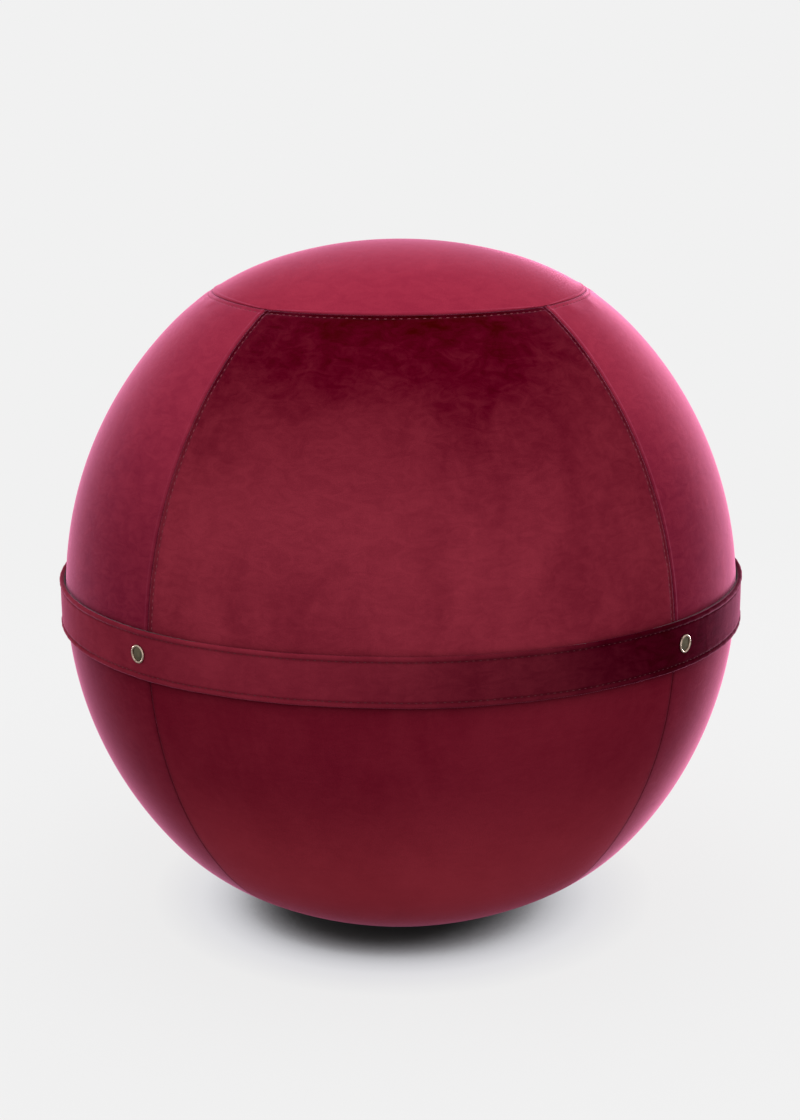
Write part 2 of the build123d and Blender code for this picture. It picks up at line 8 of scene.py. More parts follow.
# Sitting ball in a raspberry velvet cover, with a carrying belt held by press studs round its waist.
# Metres and degrees in the frame's own axes: +Z is up, the front faces -Y, the floor is at zero.
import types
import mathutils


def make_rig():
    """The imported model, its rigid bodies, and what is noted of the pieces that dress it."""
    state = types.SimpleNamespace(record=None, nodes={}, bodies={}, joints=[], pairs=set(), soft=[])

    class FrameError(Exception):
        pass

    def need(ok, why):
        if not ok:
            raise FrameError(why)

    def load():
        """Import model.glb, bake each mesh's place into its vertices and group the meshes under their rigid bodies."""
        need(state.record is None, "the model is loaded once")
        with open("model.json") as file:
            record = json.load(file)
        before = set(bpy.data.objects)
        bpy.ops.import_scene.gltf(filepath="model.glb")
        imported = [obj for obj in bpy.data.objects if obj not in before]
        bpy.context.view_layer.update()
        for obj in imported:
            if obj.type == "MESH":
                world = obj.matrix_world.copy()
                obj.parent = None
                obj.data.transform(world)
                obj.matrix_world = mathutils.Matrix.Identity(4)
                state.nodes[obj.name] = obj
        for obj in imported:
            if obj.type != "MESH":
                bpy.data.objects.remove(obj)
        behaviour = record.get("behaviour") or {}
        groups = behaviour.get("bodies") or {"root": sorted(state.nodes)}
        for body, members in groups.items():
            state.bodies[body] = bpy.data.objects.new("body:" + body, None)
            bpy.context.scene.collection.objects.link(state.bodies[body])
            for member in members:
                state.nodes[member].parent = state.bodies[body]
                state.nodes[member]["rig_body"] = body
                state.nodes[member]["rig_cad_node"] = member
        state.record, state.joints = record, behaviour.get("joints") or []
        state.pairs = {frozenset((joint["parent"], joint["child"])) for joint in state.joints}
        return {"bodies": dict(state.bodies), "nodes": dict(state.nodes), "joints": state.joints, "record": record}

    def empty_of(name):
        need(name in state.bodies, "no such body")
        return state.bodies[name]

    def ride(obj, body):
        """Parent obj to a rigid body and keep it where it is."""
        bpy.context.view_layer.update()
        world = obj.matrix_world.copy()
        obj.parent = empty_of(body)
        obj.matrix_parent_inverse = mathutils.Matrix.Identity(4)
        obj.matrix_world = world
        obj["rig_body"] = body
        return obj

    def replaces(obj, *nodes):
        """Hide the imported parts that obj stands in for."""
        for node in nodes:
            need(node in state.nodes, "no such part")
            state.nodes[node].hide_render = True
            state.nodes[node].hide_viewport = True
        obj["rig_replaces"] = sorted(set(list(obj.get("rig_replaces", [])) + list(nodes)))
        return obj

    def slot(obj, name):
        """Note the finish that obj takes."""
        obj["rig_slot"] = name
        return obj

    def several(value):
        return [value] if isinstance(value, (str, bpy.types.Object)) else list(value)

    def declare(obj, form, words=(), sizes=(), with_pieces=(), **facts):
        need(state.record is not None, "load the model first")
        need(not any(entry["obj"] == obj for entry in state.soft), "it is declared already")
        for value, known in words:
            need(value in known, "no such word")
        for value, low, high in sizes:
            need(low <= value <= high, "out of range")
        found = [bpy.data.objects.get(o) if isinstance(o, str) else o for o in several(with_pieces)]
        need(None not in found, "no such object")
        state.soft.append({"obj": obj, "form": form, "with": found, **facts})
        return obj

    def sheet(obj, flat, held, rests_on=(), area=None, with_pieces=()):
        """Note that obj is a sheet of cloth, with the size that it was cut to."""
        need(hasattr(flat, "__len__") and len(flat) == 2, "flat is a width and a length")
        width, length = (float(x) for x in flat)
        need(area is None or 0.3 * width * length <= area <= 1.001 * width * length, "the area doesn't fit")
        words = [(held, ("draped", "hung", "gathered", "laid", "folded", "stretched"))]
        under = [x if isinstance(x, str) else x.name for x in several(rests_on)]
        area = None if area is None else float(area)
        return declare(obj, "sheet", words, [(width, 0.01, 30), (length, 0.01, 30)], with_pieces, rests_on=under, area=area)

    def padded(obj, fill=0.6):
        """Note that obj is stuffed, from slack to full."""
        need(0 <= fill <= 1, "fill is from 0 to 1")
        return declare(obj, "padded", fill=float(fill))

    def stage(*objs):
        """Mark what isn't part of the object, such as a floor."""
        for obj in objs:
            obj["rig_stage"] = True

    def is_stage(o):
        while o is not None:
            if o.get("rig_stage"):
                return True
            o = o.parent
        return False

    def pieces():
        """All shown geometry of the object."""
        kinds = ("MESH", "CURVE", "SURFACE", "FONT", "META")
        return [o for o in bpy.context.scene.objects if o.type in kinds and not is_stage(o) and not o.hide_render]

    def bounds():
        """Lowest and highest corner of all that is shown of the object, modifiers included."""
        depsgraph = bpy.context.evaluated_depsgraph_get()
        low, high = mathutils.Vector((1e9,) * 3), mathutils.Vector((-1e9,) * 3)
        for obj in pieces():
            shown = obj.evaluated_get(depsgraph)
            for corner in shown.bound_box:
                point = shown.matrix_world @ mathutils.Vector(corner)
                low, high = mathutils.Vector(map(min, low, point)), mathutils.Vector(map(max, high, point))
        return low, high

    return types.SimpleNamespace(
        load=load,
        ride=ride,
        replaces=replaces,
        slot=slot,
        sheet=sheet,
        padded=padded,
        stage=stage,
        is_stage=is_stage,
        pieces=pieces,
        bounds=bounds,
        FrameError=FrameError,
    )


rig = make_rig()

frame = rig.load()
cad_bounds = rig.bounds()

# Outline of the cover. A curve's values are the radius and end angle of its waist, then of its shoulder
equator_radius = 0.2745
equator_height = 0.2675
upper_curve = (0.3055, 45.0, 0.210, 74.0)
lower_curve = (0.3035, 40.0, 0.188, 60.0)

# Cover
cover_thickness = 0.002
edge_gap = 0.00005
top_corner_reach, top_corner_angle = 0.154, 42.7
top_front_reach, top_side_reach = 0.1546, 0.1494
waist_corner_angle = 45.0
foot_height = 0.003
base_seam_radius = 0.112
base_hole = 0.002

# Seams: the cloth rolls over into the seam, and a row of topstitching runs along each side of it
seam_roll = 0.0009
plain_seam_roll = 0.0005
# Shade painted beside the seams: its reach on topstitched, plain and base seams, then where the painted band between a
# seam and its stitches starts and ends
crease_reach, plain_crease_reach, base_crease_reach = 0.0014, 0.0028, 0.0012
dark_band_start, dark_band_end = 0.0036, 0.0062
stitch_line = 0.0037
stitch_groove_depth = 0.00032
stitch_groove_width = 0.0008
stitch_beat = 0.00022
stitch_length = 0.0029
stitch_radius = 0.00042
stitch_sink, stitch_stand = 0.00045, 0.00012

# Relief of the cloth: heights, and spans, each a distance from the seam and a reach from there
lift_span = (0.0021, 0.0013)
tuck_depth, tuck_span = 0.00009, (0.0068, 0.0026)
gather_size, gather_rise, gather_span = 0.0042, 0.00016, (0.0080, 0.0080)
swell_rise, swell_span = 0.00012, (0.0085, 0.0040)
sag_size, sag_rise = 0.030, 0.00022
side_lift, top_lift = 0.00050, 0.00055
# Ragged edge of the painted seam shade band, and how dark the band is
ragged_edge, dark_band_share = 0.0005, 0.85

# Fineness: steps beside a seam, steps of the tables, and cells between the seams or round the axis
edge_steps = (
    edge_gap, 0.0005, 0.0010, 0.0016, 0.0023, 0.0031, stitch_line, 0.0042, 0.0047, 0.0054, 0.0068, 0.0088
)
plain_edge = (edge_gap, 0.0004, 0.0010, 0.0022, 0.0045)
coarse_steps, outline_steps = 61, 700
cap_columns, upper_rows = 76, 104
lower_columns, lower_rows = 96, 70
base_columns, flat_rows, arc_rows = 240, 26, 14
seam_columns, zip_columns, tube_columns = 240, 180, 128
path_steps, ball_flat_steps, ball_edge_steps, ball_row_skip, corner_steps = 90, 14, 12, 24, 8

# Flat sizes of the cut pieces
side_flat, top_flat, zip_tape_flat = (0.43, 0.29), (0.305, 0.305), (0.0125, 0.375)
base_cut_radius = 0.113

# Belt
belt_width = 0.0375
belt_radius = 0.2785
belt_band_inner = 0.2773
belt_core_inner, belt_core_outer = 0.27595, 0.27715
belt_lining_inner, belt_lining_outer, lining_inset = 0.2750, 0.2758, 0.001
belt_hem_width = 0.006
belt_stitch_inset = 0.0041
belt_hem_lap = 0.0026
belt_hem_slope = 0.0009
belt_stitch_radius = 0.0003
# Reach of the shade painted along the belt's stitch lines
belt_crease_reach = 0.0011
belt_beat_share = 0.4
belt_groove_width, pucker_place, pucker_reach = 0.0012, 0.002, 0.006
belt_columns = 692

# Tapes inside the seams, with the room they leave at a seam's end
tape_inset = 0.00215
tape_thickness = 0.0009
tape_half_width = 0.006
tape_end_share, side_tape_share = 1.1, 1.05
zip_room = 0.0145

# Zip in the rear half of the base seam
zip_half_slot = 0.0045
zip_room_depth = zip_half_slot - edge_gap
zip_start, zip_end = -4.64, 184.64
zip_tape_near, zip_tape_far = 0.0007, 0.0127
zip_tape_thickness = 0.0007
zip_ease, base_zip_ease = 0.012, 0.010

# Ballast bag and inflated ball
layer_gap = 0.0003
pouch_low = foot_height + cover_thickness + layer_gap
pouch_height, pouch_reach, pouch_hole, pouch_edge = 0.032, 0.092, 0.030, 0.009
pouch_middle, pouch_level = (pouch_reach + pouch_hole) / 2, pouch_low + pouch_height / 2
pouch_wall, pouch_gather, pouch_gather_reach, pouch_gathers, gather_beat = 0.0010, 0.0008, 0.006, 45, 0.4
ball_inset, ball_wall = 0.0046, 0.002
ball_foot, ball_foot_edge = pouch_low + pouch_height + layer_gap, 0.025
rib_rise, rib_pitch, rib_reach, crown_hole = 0.0004, 0.0042, 0.19, 0.0005
valve_bore, valve_neck, valve_neck_length = 0.0047, 0.008, 0.015

sides = {
    "front": ((-1, -1), (1, -1)),
    "right": ((1, -1), (1, 1)),
    "back": ((1, 1), (-1, 1)),
    "left": ((-1, 1), (-1, -1)),
}
dice = np.random.default_rng(11)


def new_object(name, data):
    made = bpy.data.objects.new(name, data)
    bpy.context.collection.objects.link(made)
    return made


# Camera, set from the photograph's own view
camera_distance = 1.632
camera_elevation = 14.49
camera_azimuth = -2.6
camera_pitch = -13.81
camera_yaw = 0.02
camera_roll = -0.37
camera_lens = 63.06
camera_sensor = 36.0

camera_data = bpy.data.cameras.new("camera")
camera_data.lens = camera_lens
camera_data.sensor_width = camera_sensor
camera = new_object("camera", camera_data)
turn, rise = radians(camera_azimuth), radians(camera_elevation)
camera_out = (sin(turn) * cos(rise), -cos(turn) * cos(rise), sin(rise))
camera_place = Vector(camera_out) * camera_distance + Vector((0, 0, equator_height))
camera.matrix_world = (
    Matrix.Translation(camera_place)
    @ Matrix.Rotation(radians(camera_azimuth + camera_yaw), 4, "Z")
    @ Matrix.Rotation(radians(90 + camera_pitch), 4, "X")
    @ Matrix.Rotation(radians(camera_roll), 4, "Z")
)
bpy.context.scene.camera = camera
bpy.context.scene.view_settings.view_transform = "Standard"


# Materials

def display(red, green, blue):
    """Colour as it shows on a screen, 0 to 255, turned into light values."""
    levels = np.array([red, green, blue]) / 255
    linear = np.where(levels <= 0.04045, levels / 12.92, ((levels + 0.055) / 1.055) ** 2.4)
    return (*[float(level) for level in linear], 1.0)


def new_material(name, inputs):
    material = bpy.data.materials.new(name)
    material.use_nodes = True
    tree = material.node_tree
    tree.nodes.clear()
    output = add_node(tree, "OutputMaterial")
    shader = add_node(tree, "BsdfPrincipled", inputs)
    tree.links.new(shader.outputs["BSDF"], output.inputs["Surface"])
    return material, tree, shader


def add_node(tree, kind, inputs=None, **settings):
    made = tree.nodes.new("ShaderNode" + kind)
    for name, value in settings.items():
        setattr(made, name, value)
    for name, value in (inputs or {}).items():
        if isinstance(value, bpy.types.NodeSocket):
            tree.links.new(value, made.inputs[name])
        else:
            made.inputs[name].default_value = value
    return made


def object_place(tree, scale=(1, 1, 1)):
    coordinates = add_node(tree, "TexCoord").outputs["Object"]
    return add_node(tree, "Mapping", {"Vector": coordinates, "Scale": scale}).outputs["Vector"]


def noise(tree, place, scale, detail=2.0, roughness=0.5, distortion=0.0):
    return add_node(
        tree, "TexNoise",
        {"Vector": place, "Scale": scale, "Detail": detail, "Roughness": roughness, "Distortion": distortion},
    ).outputs["Fac"]


def spanned(tree, value, low, high, to_low=0.0, to_high=1.0):
    return add_node(
        tree, "MapRange",
        {"Value": value, "From Min": low, "From Max": high, "To Min": to_low, "To Max": to_high},
        interpolation_type="SMOOTHSTEP",
    ).outputs["Result"]


def blended(tree, factor, first, second):
    return add_node(tree, "MixRGB", {"Fac": factor, "Color1": first, "Color2": second}).outputs["Color"]


def combined(tree, way, first, second):
    return add_node(tree, "Math", {0: first, 1: second}, operation=way).outputs["Value"]


def vector_step(tree, way, inputs):
    return add_node(tree, "VectorMath", inputs, operation=way).outputs["Vector"]


def bumped(tree, shader, height, distance, strength, under=None):
    inputs = {"Height": height, "Distance": distance, "Strength": strength}
    if under is not None:
        inputs["Normal"] = under
    normal = add_node(tree, "Bump", inputs).outputs["Normal"]
    if shader is not None:
        tree.links.new(normal, shader.inputs["Normal"])
    return normal


# Velvet: noises over a metre, the span of each that counts, the light it gives or takes, and its bumps,
# each as a height and a strength
pile_wide = {"scale": 5, "detail": 2, "roughness": 0.45, "distortion": 0.3}
pile_brushed = {"scale": 30, "detail": 5, "roughness": 0.62, "distortion": 0.5}
pile_small = {"scale": 60, "detail": 4, "roughness": 0.65, "distortion": 1.2}
pile_fibre = {"scale": 1500, "detail": 2, "roughness": 0.7}
wide_share, brushed_share = 0.6, 0.4
patch_span, smudge_span, fibre_span, fibre_light = (0.36, 0.64), (0.3, 0.7), (0.3, 0.75), (0.92, 1.08)
pile_turn, pile_darkest, pile_tint = (0.11, 0.0155, 0.0215), (0.0004,) * 3, (1.0, 0.32, 0.55, 1.0)
# Painted sheen: the pile's colour turns to the sheen tint where the surface faces away from the view, by this power
# and share
painted_sheen_power, painted_sheen_share = 8.8, 1.05
# Roughness of the sheen, and the level of the shade painted beside the seams
pile_sheen_roughness, crease_light = 0.25, 0.66
brushed_stretch, small_stretch = (1, 1, 0.45), (1, 1, 2.2)
brushed_bump, small_bump, fibre_bump = (0.002, 0.15), (0.0008, 0.25), (0.00025, 0.6)
# Shade painted under the belt: how far the belt is looked for, the openness that counts, and the darkest level
belt_shade_reach, belt_shade_span, belt_shade_light = 0.03, (0.62, 1.0), 0.5


def velvet(
    name, low, high, low_end, high_end, along="Z", patch=0.16, smudge=0.14, sheen=1.0, painted_sheen_gain=1.0,
    shade_under_belt=False,
):
    """Short cut pile: a slow change of tone along one axis, which paints how the panel catches the light, patches
    where the pile lies over and gains light, a sheen at the rims, and a pink sheen painted into the colour there.
    shade_under_belt paints shade into the tone under the belt."""
    material, tree, shader = new_material(name, {
        "Roughness": 0.95, "Specular IOR Level": 0.0, "Sheen Weight": sheen,
        "Sheen Roughness": pile_sheen_roughness, "Sheen Tint": pile_tint,
    })
    place = object_place(tree)
    run = add_node(tree, "SeparateXYZ", {"Vector": place}).outputs[along]
    tone = blended(tree, spanned(tree, run, low_end, high_end), display(*low), display(*high))
    wide = noise(tree, place, **pile_wide)
    brushed = noise(tree, object_place(tree, brushed_stretch), **pile_brushed)
    small = noise(tree, object_place(tree, small_stretch), **pile_small)
    fibres = noise(tree, place, **pile_fibre)
    wide = combined(tree, "MULTIPLY", wide, wide_share)
    mottle = combined(tree, "ADD", wide, combined(tree, "MULTIPLY", brushed, brushed_share))
    patches = spanned(tree, mottle, *patch_span, -patch, patch)
    turned = combined(tree, "ADD", patches, spanned(tree, small, *smudge_span, -smudge, smudge))
    change = vector_step(tree, "SCALE", {0: pile_turn, "Scale": turned})
    tone = vector_step(tree, "ADD", {0: tone, 1: change})
    tone = vector_step(tree, "MAXIMUM", {0: tone, 1: pile_darkest})
    grain = spanned(tree, fibres, *fibre_span, *fibre_light)
    # Painted shade beside the seams, read from the seam attribute
    crease = add_node(tree, "Attribute", attribute_name="seam").outputs["Fac"]
    level = combined(tree, "MULTIPLY", grain, spanned(tree, crease, 0.0, 1.0, 1.0, crease_light))
    # Painted shade under the belt, darker where the belt closes over the pile
    if shade_under_belt:
        near_belt = add_node(tree, "AmbientOcclusion", {"Distance": belt_shade_reach}, samples=8)
        shade = spanned(tree, near_belt.outputs["AO"], *belt_shade_span, belt_shade_light, 1.0)
        level = combined(tree, "MULTIPLY", level, shade)
    tone = vector_step(tree, "SCALE", {0: tone, "Scale": level})
    # Painted sheen: the colour is blended towards the sheen tint at the rims, as the surface turns from the view
    facing = add_node(tree, "LayerWeight", {"Blend": 0.5}).outputs["Facing"]
    rim = combined(tree, "POWER", facing, painted_sheen_power)
    rim = combined(tree, "MULTIPLY", rim, painted_sheen_share * sheen * painted_sheen_gain)
    tree.links.new(blended(tree, rim, tone, pile_tint), shader.inputs["Base Color"])
    lay = bumped(tree, None, brushed, *brushed_bump)
    lay = bumped(tree, None, small, *small_bump, lay)
    bumped(tree, shader, fibres, *fibre_bump, lay)
    return material


def woven(name, colour, dark, pitch, ribs=False, sheen=0.2):
    """Plain weave or ribbed tape, as two crossed waves on the piece's own place."""
    material, tree, shader = new_material(name, {"Roughness": 0.85, "Sheen Weight": sheen})
    place = object_place(tree)
    wave = {"Vector": place, "Scale": 1 / pitch / 6, "Distortion": 0.4, "Detail": 1.0}
    first, second = (
        add_node(tree, "TexWave", wave, bands_direction=way).outputs["Fac"] for way in ("Z", "DIAGONAL")
    )
    threads = first if ribs else combined(tree, "MULTIPLY", first, second)
    worn = noise(tree, place, 60, 3)
    shade = combined(tree, "MULTIPLY", combined(tree, "ADD", threads, worn), 0.5)
    tree.links.new(blended(tree, shade, display(*dark), display(*colour)), shader.inputs["Base Color"])
    bumped(tree, shader, threads, pitch / 3, 0.6)
    return material


def uneven(tree, shader, cloud, span, colour, worn, gloss_end, roughness, least, most):
    """Colour and gloss that change with a cloud. least and most are the roughness lost and gained."""
    shade = blended(tree, spanned(tree, cloud, *span), display(*colour), display(*worn))
    tree.links.new(shade, shader.inputs["Base Color"])
    gloss = spanned(tree, cloud, 0.3, gloss_end, roughness - least, roughness + most)
    tree.links.new(gloss, shader.inputs["Roughness"])


def moulded(name, colour, worn, roughness, grain=900, depth=0.00012):
    """Moulded plastic or rubber with a fine grain and uneven gloss."""
    material, tree, shader = new_material(name, {})
    place = object_place(tree)
    cloud = noise(tree, place, 35, 4)
    speck = noise(tree, place, grain, 2)
    uneven(tree, shader, cloud, (0.35, 0.75), colour, worn, 0.7, roughness, 0.07, 0.1)
    bumped(tree, shader, speck, depth, 0.5)
    return material


def metal(name, colour, worn, roughness, tarnish=420):
    """Plated metal: fine scratches, a little tarnish and uneven polish."""
    material, tree, shader = new_material(name, {"Metallic": 1.0})
    place = object_place(tree)
    cloud = noise(tree, place, tarnish, 3, 0.6)
    lines = noise(tree, object_place(tree, (1, 1, 9)), 900, 2)
    uneven(tree, shader, cloud, (0.45, 0.8), colour, worn, 0.75, roughness, 0.06, 0.12)
    bumped(tree, shader, lines, 0.00004, 0.5)
    return material


# The tones paint how each panel catches the light: the top panel lighter where it faces the lamps, the side panels
# lighter towards the top, the front panel darker towards its top, where its nap turns the light away, the lower panels
# lighter towards the floor, which throws light back, and the belt lighter on its left than on its right
velvet_top = velvet("velvet_top", (152, 42, 64), (158, 44, 67), 0.50, 0.55, sheen=0.7)
velvet_side = velvet("velvet_side", (117, 29, 49), (150, 42, 65), 0.32, 0.52, smudge=0.17, sheen=0.87)
velvet_front = velvet("velvet_front", (124, 35, 50), (86, 4, 24), 0.34, 0.51, patch=0.32)
velvet_lower_front = velvet(
    "velvet_lower_front", (154, 48, 60), (108, 22, 38), 0.05, 0.20, smudge=0.05, sheen=0.3, shade_under_belt=True
)
velvet_lower_side = velvet(
    "velvet_lower_side", (130, 32, 47), (104, 20, 36), 0.05, 0.20, smudge=0.08, sheen=0.5, painted_sheen_gain=2.1,
    shade_under_belt=True,
)
velvet_belt = velvet(
    "velvet_belt", (124, 35, 50), (73, 9, 24), -0.13, 0.15, along="X", patch=0.22, smudge=0.09, sheen=0.35
)
thread = woven("thread", (146, 56, 70), (104, 30, 44), 0.0006, sheen=0.0)
belt_thread = woven("belt_thread", (100, 24, 38), (70, 10, 24), 0.0006, sheen=0.0)
base_cloth = woven("base_cloth", (52, 50, 52), (24, 23, 24), 0.0009)
tape_cloth = woven("tape_cloth", (126, 34, 54), (78, 16, 30), 0.0010)
zip_cloth = woven("zip_cloth", (96, 22, 36), (58, 10, 20), 0.0008)
lining_cloth = woven("lining_cloth", (86, 20, 32), (50, 8, 16), 0.0008)
webbing_cloth = woven("webbing_cloth", (104, 34, 44), (60, 16, 24), 0.0016, ribs=True)
pouch_cloth = woven("pouch_cloth", (92, 92, 96), (56, 56, 60), 0.0010)
pad_rubber = moulded("pad_rubber", (34, 34, 35), (48, 47, 46), 0.7)
teeth_plastic = moulded("teeth_plastic", (96, 20, 34), (116, 36, 50), 0.35, 2400, 0.00003)
ball_skin = moulded("ball_skin", (150, 152, 156), (138, 140, 146), 0.38, 300, 0.0001)
plug_plastic = moulded("plug_plastic", (226, 226, 222), (212, 210, 204), 0.42)
grit = moulded("grit", (186, 176, 160), (120, 110, 98), 0.85, 260, 0.0012)
zip_metal = metal("zip_metal", (196, 190, 178), (150, 142, 128), 0.3)
rim_metal = metal("rim_metal", (190, 168, 152), (126, 100, 86), 0.24)
centre_metal = metal("centre_metal", (92, 84, 66), (34, 30, 22), 0.34, tarnish=110)
brass = metal("brass", (196, 168, 104), (140, 116, 70), 0.32)

for finish, node_names in (
    (pad_rubber, ("non_slip_pad",)),
    (teeth_plastic, ("zip_outer_teeth", "zip_inner_teeth")),
    (zip_metal, ("zip_end_stops", "zip_slider", "zip_pull")),
    (plug_plastic, ("valve_plug",)),
    (grit, ("ballast_fill",)),
    (rim_metal, ("stud_cap_rims",)),
    (centre_metal, ("stud_cap_centres",)),
    (brass, ("stud_sockets", "stud_posts", "stud_back_discs")),
):
    for node_name in node_names:
        data = frame["nodes"][node_name].data
        data.materials.clear()
        data.materials.append(finish)


# Meshes

def grid_index(rows, columns, wrap=False, closed=False):
    """Numbers of a grid's points. wrap ends each row with its first point, closed ends with the first row."""
    index = np.arange(rows * columns).reshape(rows, columns)
    if wrap:
        index = np.concatenate([index, index[:, :1]], axis=1)
    return np.concatenate([index, index[:1]]) if closed else index


def grid_quads(index, flip=False):
    corners = [index[:-1, :-1], index[:-1, 1:], index[1:, 1:], index[1:, :-1]]
    quads = np.stack(corners, axis=-1).reshape(-1, 4)
    return quads[:, ::-1] if flip else quads


def mesh_piece(name, points, faces, material, body, slot, seam=None):
    mesh = bpy.data.meshes.new(name)
    mesh.from_pydata(points.reshape(-1, 3).tolist(), [], [face.tolist() for face in faces])
    mesh.polygons.foreach_set("use_smooth", [True] * len(mesh.polygons))
    if seam is not None:
        layer = mesh.attributes.new("seam", "FLOAT", "POINT")
        layer.data.foreach_set("value", np.asarray(seam, dtype=np.float32).ravel())
    mesh.materials.append(material)
    piece = new_object(name, mesh)
    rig.ride(piece, body)
    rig.slot(piece, slot)
    return piece


def shell_faces(rows, columns, wrap=False):
    """Faces of a closed thin shell: an outer grid, an inner one after it, and strips round their borders."""
    index = grid_index(rows, columns, wrap)
    count = rows * columns
    faces = [grid_quads(index), grid_quads(index + count, True)]
    borders = [(index[0], True), (index[-1], False)]
    if not wrap:
        borders += [(index[:, 0], False), (index[:, -1], True)]
    for line, flip in borders:
        faces.append(grid_quads(np.stack([line, line + count]), flip))
    return np.concatenate(faces)


def shell(name, node, outer, inner, material, body, slot, wrap=False, seam=None):
    """Closed thin shell between two grids of points, rows going up and columns round, for a node."""
    if seam is not None:
        seam = np.concatenate([seam, np.zeros_like(seam)])
    faces = shell_faces(*outer.shape[:2], wrap)
    piece = mesh_piece(name, np.concatenate([outer, inner]), faces, material, body, slot, seam)
    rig.replaces(piece, node)
    return piece


# Outline of the cover, as tables along its length from the waist

def half_arcs(waist_radius, waist_angle, shoulder_radius, shoulder_angle):
    """Centre distance, centre height over the waist, radius, first and last angle of three arcs."""
    waist_x = equator_radius - waist_radius
    step = waist_radius - shoulder_radius
    shoulder_x = waist_x + step * cos(radians(waist_angle))
    shoulder_z = step * sin(radians(waist_angle))
    crown_radius = shoulder_radius + shoulder_x / cos(radians(shoulder_angle))
    crown_z = shoulder_z - (crown_radius - shoulder_radius) * sin(radians(shoulder_angle))
    return (
        (waist_x, 0, waist_radius, 0, waist_angle),
        (shoulder_x, shoulder_z, shoulder_radius, waist_angle, shoulder_angle),
        (0, crown_z, crown_radius, shoulder_angle, 90),
    )


def toward(angle):
    """Unit directions in plan."""
    return np.stack([np.cos(angle), np.sin(angle)], axis=-1)


def raised(way, reach, height):
    """Points over plan directions, from their distances from the axis and their heights."""
    return np.concatenate([way * reach[..., None], height[..., None]], axis=-1)


class Outline:
    """Half of the ball's outline: lengths from the waist, distances from the axis, heights and leans."""

    def __init__(self, arcs, way):
        tables = []
        run = 0.0
        for centre_x, centre_z, radius, first, last in arcs:
            lean = np.radians(np.linspace(first, last, outline_steps))
            tables.append([
                run + radius * (lean - lean[0]), centre_x + radius * np.cos(lean),
                equator_height + way * (centre_z + radius * np.sin(lean)), way * lean,
            ])
            run = tables[-1][0][-1]
        self.table = np.concatenate(tables, axis=1)

    def length_at(self, radius):
        return np.interp(-np.asarray(radius), -self.table[1], self.table[0])

    def at(self, along):
        """Distance from the axis, height and lean at lengths from the waist."""
        return [np.interp(along, self.table[0], values) for values in self.table[1:]]

    def lifted(self, plan, along):
        """Points and outward directions over plan directions, at lengths from the waist."""
        radius, height, lean = self.at(along)
        way = plan / np.maximum(np.linalg.norm(plan, axis=-1, keepdims=True), 1e-9)
        return raised(way, radius, height), raised(way, np.cos(lean), np.sin(lean))


upper = Outline(half_arcs(*upper_curve), 1)
lower_arcs = half_arcs(*lower_curve)
lower = Outline(lower_arcs, -1)
base_seam_length = float(lower.length_at(base_seam_radius))
foot_arc_height, foot_arc_radius = equator_height - lower_arcs[2][1], lower_arcs[2][2]


def plan_point(sign, reach, angle):
    return np.array([sign[0] * reach * sin(radians(angle)), sign[1] * reach * cos(radians(angle))])


def arc_between(first, middle, last, share):
    """Points in plan along the arc through three points, at shares of its angle."""
    matrix = 2 * np.array([middle - first, last - first])
    centre = np.linalg.solve(matrix, [middle @ middle - first @ first, last @ last - first @ first])
    start = np.arctan2(*(first - centre)[::-1])
    sweep = (np.arctan2(*(last - centre)[::-1]) - start + pi) % (2 * pi) - pi
    angle = start + sweep * share
    radius = np.linalg.norm(first - centre)
    return centre + radius * toward(angle)


def top_corner(sign):
    return plan_point(sign, top_corner_reach, top_corner_angle)


def cap_arc(side, share):
    """Points in plan along the top panel's edge over a side panel."""
    first, last = sides[side]
    middle = (np.array(first) + np.array(last)) / 2 * np.array([top_side_reach, top_front_reach])
    return arc_between(top_corner(first), middle, top_corner(last), share)


def waist_turn(side, across):
    """Azimuth at a share of the way across a side panel's waist, counter-clockwise from +X."""
    middle = 90 * list(sides).index(side) - 90
    first, last = radians(middle - waist_corner_angle), radians(middle + waist_corner_angle)
    return first + (last - first) * across


def share_inwards(waist, run, radius):
    """Share of a straight run in plan, from a point at the waist, at which it is radius from the axis."""
    square = (run * run).sum(-1)
    lean = -(waist * run).sum(-1)
    short = (equator_radius - radius) * (equator_radius + radius)
    return short / (lean + np.sqrt(np.maximum(lean * lean - square * short, 0)))


def upper_place(side):
    """Surface of a side panel above the waist, over shares across it and up it."""
    def place(across, up):
        waist = equator_radius * toward(waist_turn(side, across))
        head = cap_arc(side, across)
        along = up * upper.length_at(np.linalg.norm(head, axis=-1))
        run = head - waist
        return upper.lifted(waist + share_inwards(waist, run, upper.at(along)[0])[..., None] * run, along)

    return place


def lower_place(side):
    """Surface of a side panel below the waist, up from the base seam."""
    def place(across, up):
        return lower.lifted(toward(waist_turn(side, across)), (1 - up) * base_seam_length)

    return place


def on_upper(plan):
    return upper.lifted(plan, upper.length_at(np.linalg.norm(plan, axis=-1)))


def top_place(across, up):
    """Surface of the top panel: four bowed edges, evenly blended."""
    u, v = across[..., None], up[..., None]
    plan = (
        (1 - v) * cap_arc("front", across) + v * cap_arc("back", 1 - across)
        + (1 - u) * cap_arc("left", 1 - up) + u * cap_arc("right", up)
    )
    plan -= (1 - u) * (1 - v) * top_corner((-1, -1)) + u * (1 - v) * top_corner((1, -1))
    plan -= (1 - u) * v * top_corner((-1, 1)) + u * v * top_corner((1, 1))
    return on_upper(plan)


# Grids whose lines keep their distances from the seams

def spread(length, low, count, high):
    """Distances along a line: low steps from its start, high steps from its end, even ones between."""
    middle = np.linspace(low[-1], length - high[-1], count + 1)[1:-1]
    return np.concatenate([low, middle, length - np.asarray(high)[::-1]])


def run_lengths(points):
    """Lengths along each column of a grid of points, from its first row."""
    steps = np.linalg.norm(np.diff(points, axis=0), axis=-1)
    return np.concatenate([np.zeros_like(steps[:1]), np.cumsum(steps, axis=0)])


